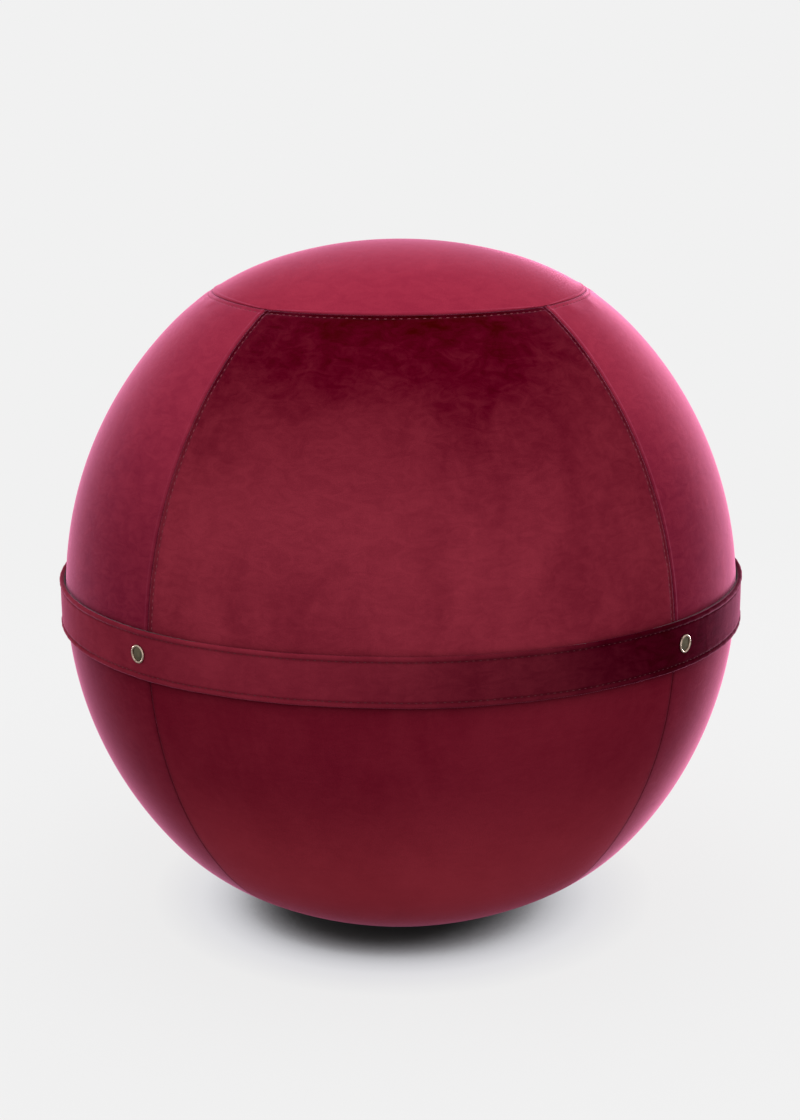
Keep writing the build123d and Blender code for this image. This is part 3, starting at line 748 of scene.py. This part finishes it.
class Panel:
    """Grid over a surface: points, outward directions and each point's distances from the four edges."""

    def __init__(self, place, columns, rows, low=edge_steps, high=edge_steps):
        shares = np.linspace(0, 1, coarse_steps)
        fine = np.linspace(0, 1, coarse_steps * 3)
        points, _ = place(*np.meshgrid(shares, fine))
        climbs = run_lengths(points)
        heights = np.array([
            np.interp(spread(climb[-1], low, rows, high), climb, fine) for climb in climbs.T
        ]).T
        across, up, first, last = [], [], [], []
        for line in heights:
            points, _ = place(shares, line)
            reach = run_lengths(points)
            stops = spread(reach[-1], edge_steps, columns, edge_steps)
            share = np.interp(stops, reach, shares)
            across.append(share)
            up.append(np.interp(share, shares, line))
            first.append(stops)
            last.append(reach[-1] - stops)
        self.points, self.normals = place(np.array(across), np.array(up))
        climbs = run_lengths(self.points)
        self.edges = {
            "first": np.array(first), "last": np.array(last),
            "low": climbs + low[0], "high": climbs[-1] - climbs + high[0],
        }
        self.row_run, self.column_run = (len(low) - 1, rows), (len(edge_steps) - 1, columns)

    def beats(self):
        """Alternating values up and across the panel, one up at each stitch and one down between two."""
        up, across = (np.zeros(size) for size in self.points.shape[:2])
        for line, start, count in ((up, *self.row_run), (across, *self.column_run)):
            line[start:start + count + 1] = np.cos(pi * np.arange(count + 1))
        return up[:, None], across


def bell(distance, middle, width):
    return np.exp(-(((distance - middle) / width) ** 2))


def roll_depth(distance, radius=seam_roll):
    inside = np.clip(radius - distance, 0, radius)
    return radius - np.sqrt(radius * radius - inside * inside)


def ripple(points, size, seed_waves):
    """Slow unevenness: a sum of waves in fixed random directions."""
    total = np.zeros(points.shape[:-1])
    for way, phase, weight in seed_waves:
        total += weight * np.sin(points @ way / size + phase)
    return total


def random_waves(count):
    ways = dice.normal(size=(count, 3))
    ways /= np.linalg.norm(ways, axis=1, keepdims=True)
    return [(way * dice.uniform(0.7, 1.6), dice.uniform(0, 2 * pi), 1 / count ** 0.5) for way in ways]


slow_waves = random_waves(7)
quick_waves = random_waves(9)


def relief(panel, seams, lift, roll_radius=seam_roll):
    """How far the cloth stands out of the outline. seams names the edges with topstitching beside them, and
    lift how high the cloth stands between its seam and its stitches."""
    beats = panel.beats()
    roll, groove, out = (np.zeros(panel.points.shape[:2]) for _ in range(3))
    for edge, distance in panel.edges.items():
        roll = np.maximum(roll, roll_depth(distance, roll_radius))
        out += lift.get(edge, 0.0) * bell(distance, *lift_span)
        if edge not in seams:
            continue
        beat = beats[edge in ("low", "high")]
        deep = (stitch_groove_depth + stitch_beat * beat) * bell(distance, stitch_line, stitch_groove_width)
        groove = np.maximum(groove, deep)
        out -= tuck_depth * beat * bell(distance, *tuck_span)
        gathers = ripple(panel.points, gather_size, quick_waves)
        out += gather_rise * gathers * bell(distance, *gather_span)
        out += swell_rise * bell(distance, *swell_span)
    out += sag_rise * ripple(panel.points, sag_size, slow_waves)
    return out - np.maximum(roll, groove)


def painted_seam_shade(panel, dark_band, reach):
    """Share of painted shade beside the seams: a soft line, and on a topstitched panel a band too, with a ragged edge."""
    distance = np.minimum.reduce(list(panel.edges.values()))
    line = np.exp(-distance / reach)
    if not dark_band:
        return line
    ragged = distance + ragged_edge * ripple(panel.points, gather_size, quick_waves)
    share = np.clip((dark_band_end - ragged) / (dark_band_end - dark_band_start), 0, 1)
    return np.maximum(line, dark_band_share * share * share * (3 - 2 * share))


def panel_shell(name, node, panel, out, material, flat, dark_band=False, reach=crease_reach):
    outer = panel.points + panel.normals * out[..., None]
    inner = panel.points - panel.normals * cover_thickness
    # Shade painted beside the seams, carried in the seam attribute
    crease = painted_seam_shade(panel, dark_band, reach)
    piece = shell(name, node, outer, inner, material, "ball", "velvet", seam=crease)
    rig.sheet(piece, flat=flat, held="stretched", rests_on=["inner_ball"], area=grid_area(panel.points))
    return outer


def grid_area(points):
    across = np.diff(points, axis=1)[:-1]
    up = np.diff(points, axis=0)[:, :-1]
    return float(np.linalg.norm(np.cross(across, up), axis=-1).sum())


# Stitches

# A thread's rings, each as its place along it, its thickness and its rise, and the points of a ring
stitch_profile = ((-1, 0.2, -1), (-0.78, 0.8, -0.35), (0, 1, 0), (0.78, 0.8, -0.35), (1, 0.2, -1))
stitch_sides = 6


def stitch_row(places, ways, normals, radius=stitch_radius):
    """Points of threads that lie along a row and dip into the cloth at both ends."""
    ways = ways / np.linalg.norm(ways, axis=-1, keepdims=True)
    across = np.cross(ways, normals)
    turn = np.arange(stitch_sides) * 2 * pi / stitch_sides
    rings = []
    for along, thick, sink in stitch_profile:
        middle = places + ways * (along * stitch_length / 2) + normals * (sink * stitch_sink)
        rings.append(middle[:, None] + radius * thick * (
            across[:, None] * np.cos(turn)[:, None] + normals[:, None] * np.sin(turn)[:, None]
        ))
    return np.stack(rings, axis=1)


def stitch_piece(name, rows, material, body, slot):
    threads = np.concatenate(rows)
    count, rings, ring_points = threads.shape[:3]
    tube = grid_quads(grid_index(rings, ring_points, True))
    ends = [np.arange(ring_points)[::-1], np.arange((rings - 1) * ring_points, rings * ring_points)]
    faces = [face + number * rings * ring_points for number in range(count) for face in [*tube, *ends]]
    return mesh_piece(name, threads, faces, material, body, slot)


def threads_along(points, normals, start, count):
    """Threads at every second point of a line, from start on."""
    places = np.arange(start, start + count + 1, 2)
    ways = points[places + 1] - points[places - 1]
    return stitch_row(points[places] + normals[places] * stitch_stand, ways, normals[places])


# Upper side panels and their topstitching

side_rows, cap_rows = [], []
stitch_column = edge_steps.index(stitch_line)
for side in sides:
    panel = Panel(upper_place(side), cap_columns, upper_rows, low=plain_edge)
    facing = side in ("front", "back")
    lift = {} if facing else {"first": side_lift, "last": side_lift}
    out = relief(panel, ("first", "last", "high") if facing else ("high",), lift)
    outer = panel_shell(
        f"cover_upper_{side}", f"upper_{side}_panel", panel, out, velvet_front if facing else velvet_side,
        side_flat, dark_band=facing,
    )
    for column in (stitch_column, -1 - stitch_column) if facing else ():
        line, normals = outer[:, column], panel.normals[:, column]
        side_rows.append(threads_along(line, normals, *panel.row_run))
    line, normals = outer[-1 - stitch_column], panel.normals[-1 - stitch_column]
    cap_rows.append(threads_along(line, normals, *panel.column_run))

# Top panel, with its edge raised by the seam under it
panel = Panel(top_place, cap_columns, cap_columns)
out = relief(panel, (), {edge: top_lift for edge in ("first", "last", "low", "high")})
panel_shell("cover_top", "top_panel", panel, out, velvet_top, top_flat)
stitch_piece("cover_side_stitches", side_rows, thread, "ball", "velvet")
stitch_piece("cover_top_stitches", cap_rows, thread, "ball", "velvet")


def over_zip(angle):
    """Whether a direction from the axis lies over the zip, which runs round the rear."""
    azimuth = (np.degrees(angle) + 90) % 360 - 90
    return (azimuth > zip_start) & (azimuth < zip_end)


# Lower side panels: plain seams, and a slot for the zip round the rear of the base seam
for side in sides:
    panel = Panel(lower_place(side), lower_columns, lower_rows, low=plain_edge, high=plain_edge)
    x, y = panel.points[..., 0], panel.points[..., 1]
    near = bell(panel.edges["low"] - edge_gap, 0, zip_ease) * over_zip(np.arctan2(y, x))
    along = lower.length_at(np.hypot(x, y)) - near * zip_room_depth
    panel.points, panel.normals = lower.lifted(panel.points[..., :2], along)
    out = relief(panel, (), {}, plain_seam_roll)
    panel_shell(
        f"cover_lower_{side}", f"lower_{side}_panel", panel, out,
        velvet_lower_front if side in ("front", "back") else velvet_lower_side,
        side_flat, reach=plain_crease_reach,
    )


# Rings and bands

def ring_grid(section, columns, start=0.0, end=360.0):
    """Grid of points: a section's points, distance from the axis and height, carried round the axis."""
    section = np.array(section)
    whole = abs(end - start) >= 360
    angle = np.radians(np.linspace(start, end, columns, endpoint=not whole))
    radius, height = section[:, None, 0], section[:, None, 1]
    return raised(toward(angle), radius, height * np.ones_like(angle))


# Base panel: flat on the pad, then up the foot's arc to the base seam
flat_reach = (foot_arc_radius ** 2 - (foot_arc_height - foot_height) ** 2) ** 0.5
base_radii = np.concatenate([
    np.linspace(base_hole, flat_reach, flat_rows),
    np.linspace(flat_reach, base_seam_radius - edge_gap, arc_rows)[1:],
])[:, None]
base_angle = np.radians(np.arange(base_columns) * 360 / base_columns)
slot = over_zip(base_angle) * zip_room_depth
radius = base_radii - slot * bell(base_seam_radius - base_radii, 0, base_zip_ease)
arc_height = foot_arc_height - np.sqrt(foot_arc_radius ** 2 - radius ** 2)
height = foot_height + np.maximum(arc_height - foot_height, 0)
lean = np.where(arc_height > foot_height, np.arcsin(radius / foot_arc_radius), 0)
seam_distance = (base_seam_radius - radius) - slot
depth = roll_depth(np.maximum(seam_distance, edge_gap))
base_points = raised(toward(base_angle), radius, height)
base_normals = raised(toward(base_angle), np.sin(lean), -np.cos(lean))
base_outer = base_points - base_normals * depth[..., None]
base_inner = base_points - base_normals * cover_thickness
base_piece = shell(
    "cover_base", "base_panel", base_outer, base_inner, base_cloth, "ball", "base_cloth", wrap=True,
    seam=np.exp(-np.maximum(seam_distance, 0) / base_crease_reach),
)
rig.sheet(
    base_piece, flat=(2 * base_cut_radius, 2 * base_cut_radius), held="stretched", rests_on=["non_slip_pad"],
    area=pi * base_cut_radius ** 2,
)


# Tapes inside the seams

tape_shares = np.linspace(-1, 1, 7)


def plan_strip(path):
    """Grid of plan points across a path, from its right to its left."""
    way = np.gradient(path, axis=0)
    way /= np.linalg.norm(way, axis=1, keepdims=True)
    across = np.stack([way[:, 1], -way[:, 0]], axis=-1)
    return path[None] + across[None] * (tape_shares * tape_half_width)[:, None, None]


def joined_tape(name, node, strips, flat):
    """One piece from several strips under the cover, each a closed thin shell."""
    points_list, faces_list = [], []
    total, first = 0.0, 0
    for points, normals in strips:
        outer = points - normals * tape_inset
        inner = points - normals * (tape_inset + tape_thickness)
        faces_list.append(shell_faces(*outer.shape[:2]) + first)
        points_list += [outer, inner]
        first += 2 * outer[..., 0].size
        total += grid_area(points)
    points, faces = np.concatenate(points_list), np.concatenate(faces_list)
    piece = mesh_piece(name, points, faces, tape_cloth, "ball", "seam_tape")
    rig.replaces(piece, node)
    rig.sheet(piece, flat=flat(total), held="stretched", rests_on=["inner_ball"], area=total)


path_shares = np.linspace(0, 1, path_steps)[:-1]
ring_path = np.concatenate([cap_arc(side, path_shares) for side in sides])
ring_path = np.concatenate([ring_path, ring_path[:1]])
tape_length = float(np.linalg.norm(np.diff(ring_path, axis=0), axis=1).sum())
joined_tape(
    "tape_top_seam", "top_seam_tape", [on_upper(plan_strip(ring_path))],
    lambda area: (2 * tape_half_width * tape_end_share, tape_length * tape_end_share),
)


def across_seam(points, normals, across):
    """Grid of points either side of a seam's line, with their outward directions."""
    steps = (tape_shares * tape_half_width)[:, None, None]
    spots = points[None] + across / np.linalg.norm(across) * steps
    return spots, normals[None] * np.ones_like(spots)


strips, tape_room, tape_points = [], tape_half_width * tape_end_share, 60
for sign in ((1, 1), (-1, 1), (-1, -1), (1, -1)):
    waist = plan_point(sign, equator_radius, waist_corner_angle)
    start = float(upper.length_at(equator_radius)) + tape_room
    end = float(upper.length_at(top_corner_reach)) - tape_room
    lengths = np.linspace(start, end, tape_points)
    run = top_corner(sign) - waist
    share = share_inwards(waist, run, upper.at(lengths)[0])
    points, normals = upper.lifted(waist + share[:, None] * run, lengths)
    strips.append(across_seam(points, normals, np.array([run[1], -run[0], 0])))
    lengths = np.linspace(tape_room, base_seam_length - zip_room, tape_points)
    points, normals = lower.lifted(waist * np.ones((tape_points, 2)), lengths)
    strips.append(across_seam(points, normals, np.array([-waist[1], waist[0], 0])))
joined_tape(
    "tape_side_seams", "side_seam_tapes", strips,
    lambda area: (2 * tape_half_width * side_tape_share, area / (2 * tape_half_width)),
)


def band(name, node, inner_radius, outer_radius, half_width, material, slot, body, rows=9):
    """Upright ring of thin cloth about the waist, with softened edges."""
    heights = np.linspace(-half_width, half_width, rows)
    ease = (outer_radius - inner_radius) * 0.25 * (np.abs(heights) >= half_width)
    outer, inner = (
        ring_grid(np.stack([radii, equator_height + heights], axis=-1), seam_columns)
        for radii in (outer_radius - ease, inner_radius + ease)
    )
    piece = shell(name, node, outer, inner, material, body, slot, wrap=True)
    girth = pi * (inner_radius + outer_radius)
    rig.sheet(piece, flat=(girth, 2 * half_width), held="stretched", rests_on=["cover_upper_front"])


band(
    "tape_waist_seam", "waist_seam_tape", equator_radius - tape_inset - tape_thickness,
    equator_radius - tape_inset, tape_half_width, tape_cloth, "seam_tape", "ball",
)
band(
    "belt_inner_lining", "belt_lining", belt_lining_inner, belt_lining_outer, belt_width / 2 - lining_inset,
    lining_cloth, "belt_lining", "belt",
)
band(
    "belt_stiffener", "belt_core", belt_core_inner, belt_core_outer, belt_width / 2 - belt_hem_width / 2,
    webbing_cloth, "belt_webbing", "belt",
)

# Zip tapes
for row, way in (("outer", 1), ("inner", -1)):
    lengths = base_seam_length - way * np.linspace(zip_tape_near, zip_tape_far, 8)[::-way]
    radius, height, lean = lower.at(lengths)
    order = np.argsort(height)
    outer, inner = (
        ring_grid(
            np.stack([radius - depth * np.cos(lean), height - depth * np.sin(lean)], axis=-1)[order],
            zip_columns, zip_start, zip_end,
        )
        for depth in (tape_inset, tape_inset + zip_tape_thickness)
    )
    piece = shell(f"zip_tape_{row}", f"zip_{row}_tape", outer, inner, zip_cloth, "ball", "zip_tape")
    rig.sheet(piece, flat=zip_tape_flat, held="stretched", rests_on=["inner_ball"])


# Inflated ball inside the cover: a moulded skin with low ribs, closed at its valve

def ball_line(inset, foot, edge):
    """Half outline of the inflated ball from its valve round to its crown."""
    _, radii, heights, leans = np.concatenate([lower.table[:, ::-1], upper.table[:, 1:]], axis=1)
    radii = radii - inset * np.cos(leans)
    heights = heights - inset * np.sin(leans)
    first = int(np.searchsorted(heights - edge * np.sin(leans), foot + edge))
    radii, heights, leans = radii[first:], heights[first:], leans[first:]
    turn = np.linspace(-pi / 2, leans[0], ball_edge_steps)[:-1]
    rounded_r = radii[0] + edge * (np.cos(turn) - cos(leans[0]))
    rounded_z = foot + edge * (1 + np.sin(turn))
    flat_r = np.linspace(valve_neck, rounded_r[0], ball_flat_steps)[:-1]
    flat_z = np.full_like(flat_r, foot)
    radii = np.concatenate([flat_r, rounded_r, radii[::ball_row_skip], radii[-1:]])
    heights = np.concatenate([flat_z, rounded_z, heights[::ball_row_skip], heights[-1:]])
    return radii, heights


outer_r, outer_z = ball_line(ball_inset, ball_foot, ball_foot_edge)
ribs = rib_rise * np.sin(outer_z / rib_pitch) * bell(outer_z, equator_height, rib_reach) - rib_rise
outer_line = np.stack([np.maximum(outer_r + ribs, crown_hole), outer_z], axis=-1)
inner_r, inner_z = ball_line(ball_inset + ball_wall, ball_foot + ball_wall, ball_foot_edge)
neck_top = ball_foot + valve_neck_length
inner_line = np.stack([np.maximum(inner_r, crown_hole), inner_z], axis=-1)
loop = np.concatenate([
    [(valve_bore, neck_top), (valve_bore, ball_foot)], outer_line, inner_line[::-1],
    [(valve_neck, ball_foot + ball_wall), (valve_neck, neck_top)],
])
ball_faces = grid_quads(grid_index(len(loop), tube_columns, True, True))
ball_piece = mesh_piece(
    "inner_ball_skin", ring_grid(loop, tube_columns), ball_faces, ball_skin, "ball", "ball_pvc"
)
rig.replaces(ball_piece, "inner_ball")
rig.padded(ball_piece, fill=1.0)


# Ballast pouch: a stuffed ring with a gathered rim seam

def pouch_line(inset):
    """Closed section of the ring, corners rounded, drawn in by inset."""
    half_wide = (pouch_reach - pouch_hole) / 2 - inset
    half_high = pouch_height / 2 - inset
    edge = pouch_edge - inset
    line = []
    for corner, (x_way, z_way) in enumerate(((1, -1), (1, 1), (-1, 1), (-1, -1))):
        for step in np.linspace(0, 90, corner_steps):
            angle = radians(-90 + 90 * corner + step)
            line.append((
                pouch_middle + x_way * (half_wide - edge) + edge * cos(angle),
                pouch_level + z_way * (half_high - edge) + edge * sin(angle),
            ))
    return line


def pouch_ring(inset, gather):
    points = ring_grid(pouch_line(inset), zip_columns)
    angle = np.arctan2(points[..., 1], points[..., 0])
    side_share = bell(points[..., 2], pouch_level, pouch_gather_reach)
    draw = gather * (1 - gather_beat + gather_beat * np.cos(angle * pouch_gathers)) * side_share
    reach = np.hypot(points[..., 0], points[..., 1])
    inward = np.where(reach > pouch_middle, -1, 1) * draw
    points[..., :2] *= (1 + inward / reach)[..., None]
    return points


pouch_outer, pouch_inner = pouch_ring(0, pouch_gather), pouch_ring(pouch_wall, 0.0)
index = grid_index(*pouch_outer.shape[:2], True, True)
pouch_faces = np.concatenate([grid_quads(index), grid_quads(index + pouch_outer[..., 0].size, True)])
pouch_piece = mesh_piece(
    "ballast_bag", np.concatenate([pouch_outer, pouch_inner]), pouch_faces, pouch_cloth, "ball", "pouch_cloth"
)
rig.replaces(pouch_piece, "ballast_pouch")
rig.padded(pouch_piece, fill=0.9)

# Belt: velvet band with both edges folded into hems and stitched
hem_line = belt_width / 2 - belt_hem_width
stitch_height = belt_width / 2 - belt_stitch_inset
belt_half = (
    (0.0, 0.00012), (0.0045, 0.00010), (0.0085, 0.00006), (hem_line - 0.0012, 0.00004), (hem_line, 0.00008),
    (stitch_height - 0.0010, 0.00004), (stitch_height - 0.0004, -0.00016), (stitch_height, -0.00026),
    (stitch_height + 0.0004, -0.00008), (stitch_height + 0.0009, 0.00038), (stitch_height + 0.0015, 0.00064),
    (stitch_height + 0.0023, 0.00072), (belt_width / 2 - 0.0011, 0.00062),
    (belt_width / 2 - 0.0005, 0.00034), (belt_width / 2 - 0.0001, -0.00020), (belt_width / 2, -0.00065),
)
belt_section = [(-height, rise) for height, rise in belt_half[:0:-1]] + list(belt_half)
belt_level, belt_rise = np.array(belt_section).T
belt_turn = np.arange(belt_columns) * 2 * pi / belt_columns
belt_beat = np.cos(pi * np.arange(belt_columns))
on_stitch = bell(np.abs(belt_level), stitch_height, belt_groove_width)
radius = belt_radius + belt_rise[:, None] - on_stitch[:, None] * stitch_beat * belt_beat_share * belt_beat


def round_waves(waves):
    """Sum of waves round the belt, each as its count, height and phase."""
    return sum(height * np.sin(count * belt_turn + phase) for count, height, phase in waves)


belt_sway = round_waves(((3, 0.00030, 0.4), (7, 0.00022, 2.0), (16, 0.00012, 4.0), (41, 0.00006, 1.0)))
belt_pucker = round_waves(((97, 0.00008, 0.0), (151, 0.00006, 2.5)))
radius = radius + belt_pucker * bell(np.abs(belt_level), stitch_height + pucker_place, pucker_reach)[:, None]
level = equator_height + belt_level[:, None] + belt_sway * (np.abs(belt_level) / (belt_width / 2))[:, None]
belt_outer = raised(toward(belt_turn), radius, level)
lapped = np.abs(belt_level) > belt_width / 2 - belt_hem_lap
inner_radius = np.where(lapped, belt_lining_outer + edge_gap, belt_band_inner)[:, None]
inner_level = level - (lapped * np.sign(belt_level) * belt_hem_slope)[:, None]
belt_inner = raised(toward(belt_turn), inner_radius * np.ones(belt_columns), inner_level)
# Shade painted along the belt's stitch lines, through the seam attribute that the belt's velvet reads
belt_crease = np.exp(-np.abs(np.abs(belt_level) - stitch_height) / belt_crease_reach)
belt_piece = shell(
    "belt_velvet_band", "belt_band", belt_outer, belt_inner, velvet_belt, "belt", "belt_velvet", wrap=True,
    seam=belt_crease[:, None] * np.ones(belt_columns),
)
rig.sheet(
    belt_piece, flat=(2 * pi * belt_radius, belt_width + 2 * belt_hem_width), held="stretched",
    rests_on=["belt_stiffener"],
)

belt_stitch_rows = []
belt_normals = raised(toward(belt_turn), np.ones(belt_columns), np.zeros(belt_columns))
places = np.arange(0, belt_columns, 2)
for height in (-stitch_height, stitch_height):
    line = belt_outer[int(np.argmin(np.abs(belt_level - height)))]
    ways = line[(places + 1) % belt_columns] - line[places - 1]
    belt_stitch_rows.append(stitch_row(line[places], ways, belt_normals[places], belt_stitch_radius))
stitch_piece("belt_stitches", belt_stitch_rows, belt_thread, "belt", "belt_velvet")


# Floor, background and light
backdrop = display(241, 241, 241)
floor_reach, floor_sides = 3.0, 96
floor_data = bpy.data.meshes.new("floor")
turn = np.arange(floor_sides) * 2 * pi / floor_sides
floor_points = [(floor_reach * cos(angle), floor_reach * sin(angle), 0.0) for angle in turn]
floor_data.from_pydata(floor_points, [], [tuple(range(floor_sides))])
floor = new_object("floor", floor_data)
floor_material, tree, shader = new_material(
    "floor_paint", {"Roughness": 0.9, "Specular IOR Level": 0.0, "Base Color": display(176, 176, 178)}
)
# The contact shadow: how open the floor is towards the light, behind the ball, turned into its tone
contact_reach, contact_samples, light_way = 0.06, 48, (0.139, 0.352, 0.926)
to_light = add_node(tree, "CombineXYZ", dict(enumerate(light_way))).outputs["Vector"]
near_ball = add_node(
    tree, "AmbientOcclusion", {"Distance": contact_reach, "Normal": to_light}, samples=contact_samples
)
shades = add_node(tree, "ValToRGB", {"Fac": near_ball.outputs["AO"]})
stops = shades.color_ramp.elements
for stop, (level, colour) in enumerate((
    (0.098, (2, 0, 0)), (0.178, (119, 118, 121)), (0.25, (181, 181, 185)), (0.345, (209, 209, 213)),
    (0.50, (228, 228, 231)), (0.75, (236, 236, 237)), (1.0, (241, 241, 241)),
)):
    made = stops[stop] if stop < 2 else stops.new(level)
    made.position, made.color = level, display(*colour)
printed = add_node(tree, "Emission", {"Color": shades.outputs["Color"]})
real = add_node(tree, "BsdfDiffuse", {"Color": display(240, 240, 241)})
printed_share = 0.9
shaded = add_node(tree, "MixShader", {0: printed_share, 1: real.outputs["BSDF"], 2: printed.outputs[0]})
seen = add_node(tree, "LightPath").outputs["Is Camera Ray"]
seen = add_node(tree, "MixShader", {0: seen, 1: shader.outputs["BSDF"], 2: shaded.outputs[0]})
far = add_node(tree, "VectorMath", {0: object_place(tree)}, operation="LENGTH").outputs["Value"]
fade_start, fade_end = 0.7, 1.5
fade = spanned(tree, far, fade_start, fade_end)
clear = add_node(tree, "BsdfTransparent")
mixed = add_node(tree, "MixShader", {0: fade, 1: seen.outputs[0], 2: clear.outputs["BSDF"]})
tree.links.new(mixed.outputs["Shader"], tree.nodes["Material Output"].inputs["Surface"])
floor_data.materials.append(floor_material)
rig.stage(floor)

world = bpy.data.worlds.new("studio")
bpy.context.scene.world = world
world.use_nodes = True
tree = world.node_tree
tree.nodes.clear()
rays = add_node(tree, "LightPath").outputs
seen = combined(tree, "MAXIMUM", rays["Is Camera Ray"], rays["Is Glossy Ray"])
seen = combined(tree, "MAXIMUM", seen, rays["Is Transmission Ray"])
world_light = 0.75
light = add_node(tree, "Background", {"Color": (1, 1, 1, 1), "Strength": world_light})
shown = add_node(tree, "Background", {"Color": backdrop, "Strength": 1.0})
mixed = add_node(tree, "MixShader", {0: seen, 1: light.outputs[0], 2: shown.outputs[0]})
add_node(tree, "OutputWorld", {"Surface": mixed.outputs["Shader"]})


def softbox(name, place, width, height, power):
    lamp_data = bpy.data.lights.new(name, "AREA")
    lamp_data.shape = "RECTANGLE"
    lamp_data.size, lamp_data.size_y = width, height
    lamp_data.energy = power
    lamp = new_object(name, lamp_data)
    lamp.location = place
    lamp.visible_camera = False
    aim = Vector((0, 0, equator_height))
    lamp.rotation_euler = (Vector(place) - aim).to_track_quat("Z", "Y").to_euler()


# Each lamp's place, width, height and power in watts
softbox("top_light", (0.1, 0.0, 2.2), 2.0, 2.0, 13)
softbox("left_rim", (-1.8, 1.5, 0.15), 0.7, 0.6, 26)
softbox("right_rim", (1.8, 1.6, 0.06), 0.8, 0.5, 92)
softbox("front_fill", (0.1, -2.4, 1.2), 2.0, 1.6, 13)

visual_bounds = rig.bounds()
with open("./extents.json", "w") as size_file:
    json.dump(
        {
            "cad": [[float(value) for value in corner] for corner in cad_bounds],
            "visual": [[float(value) for value in corner] for corner in visual_bounds],
        },
        size_file,
    )
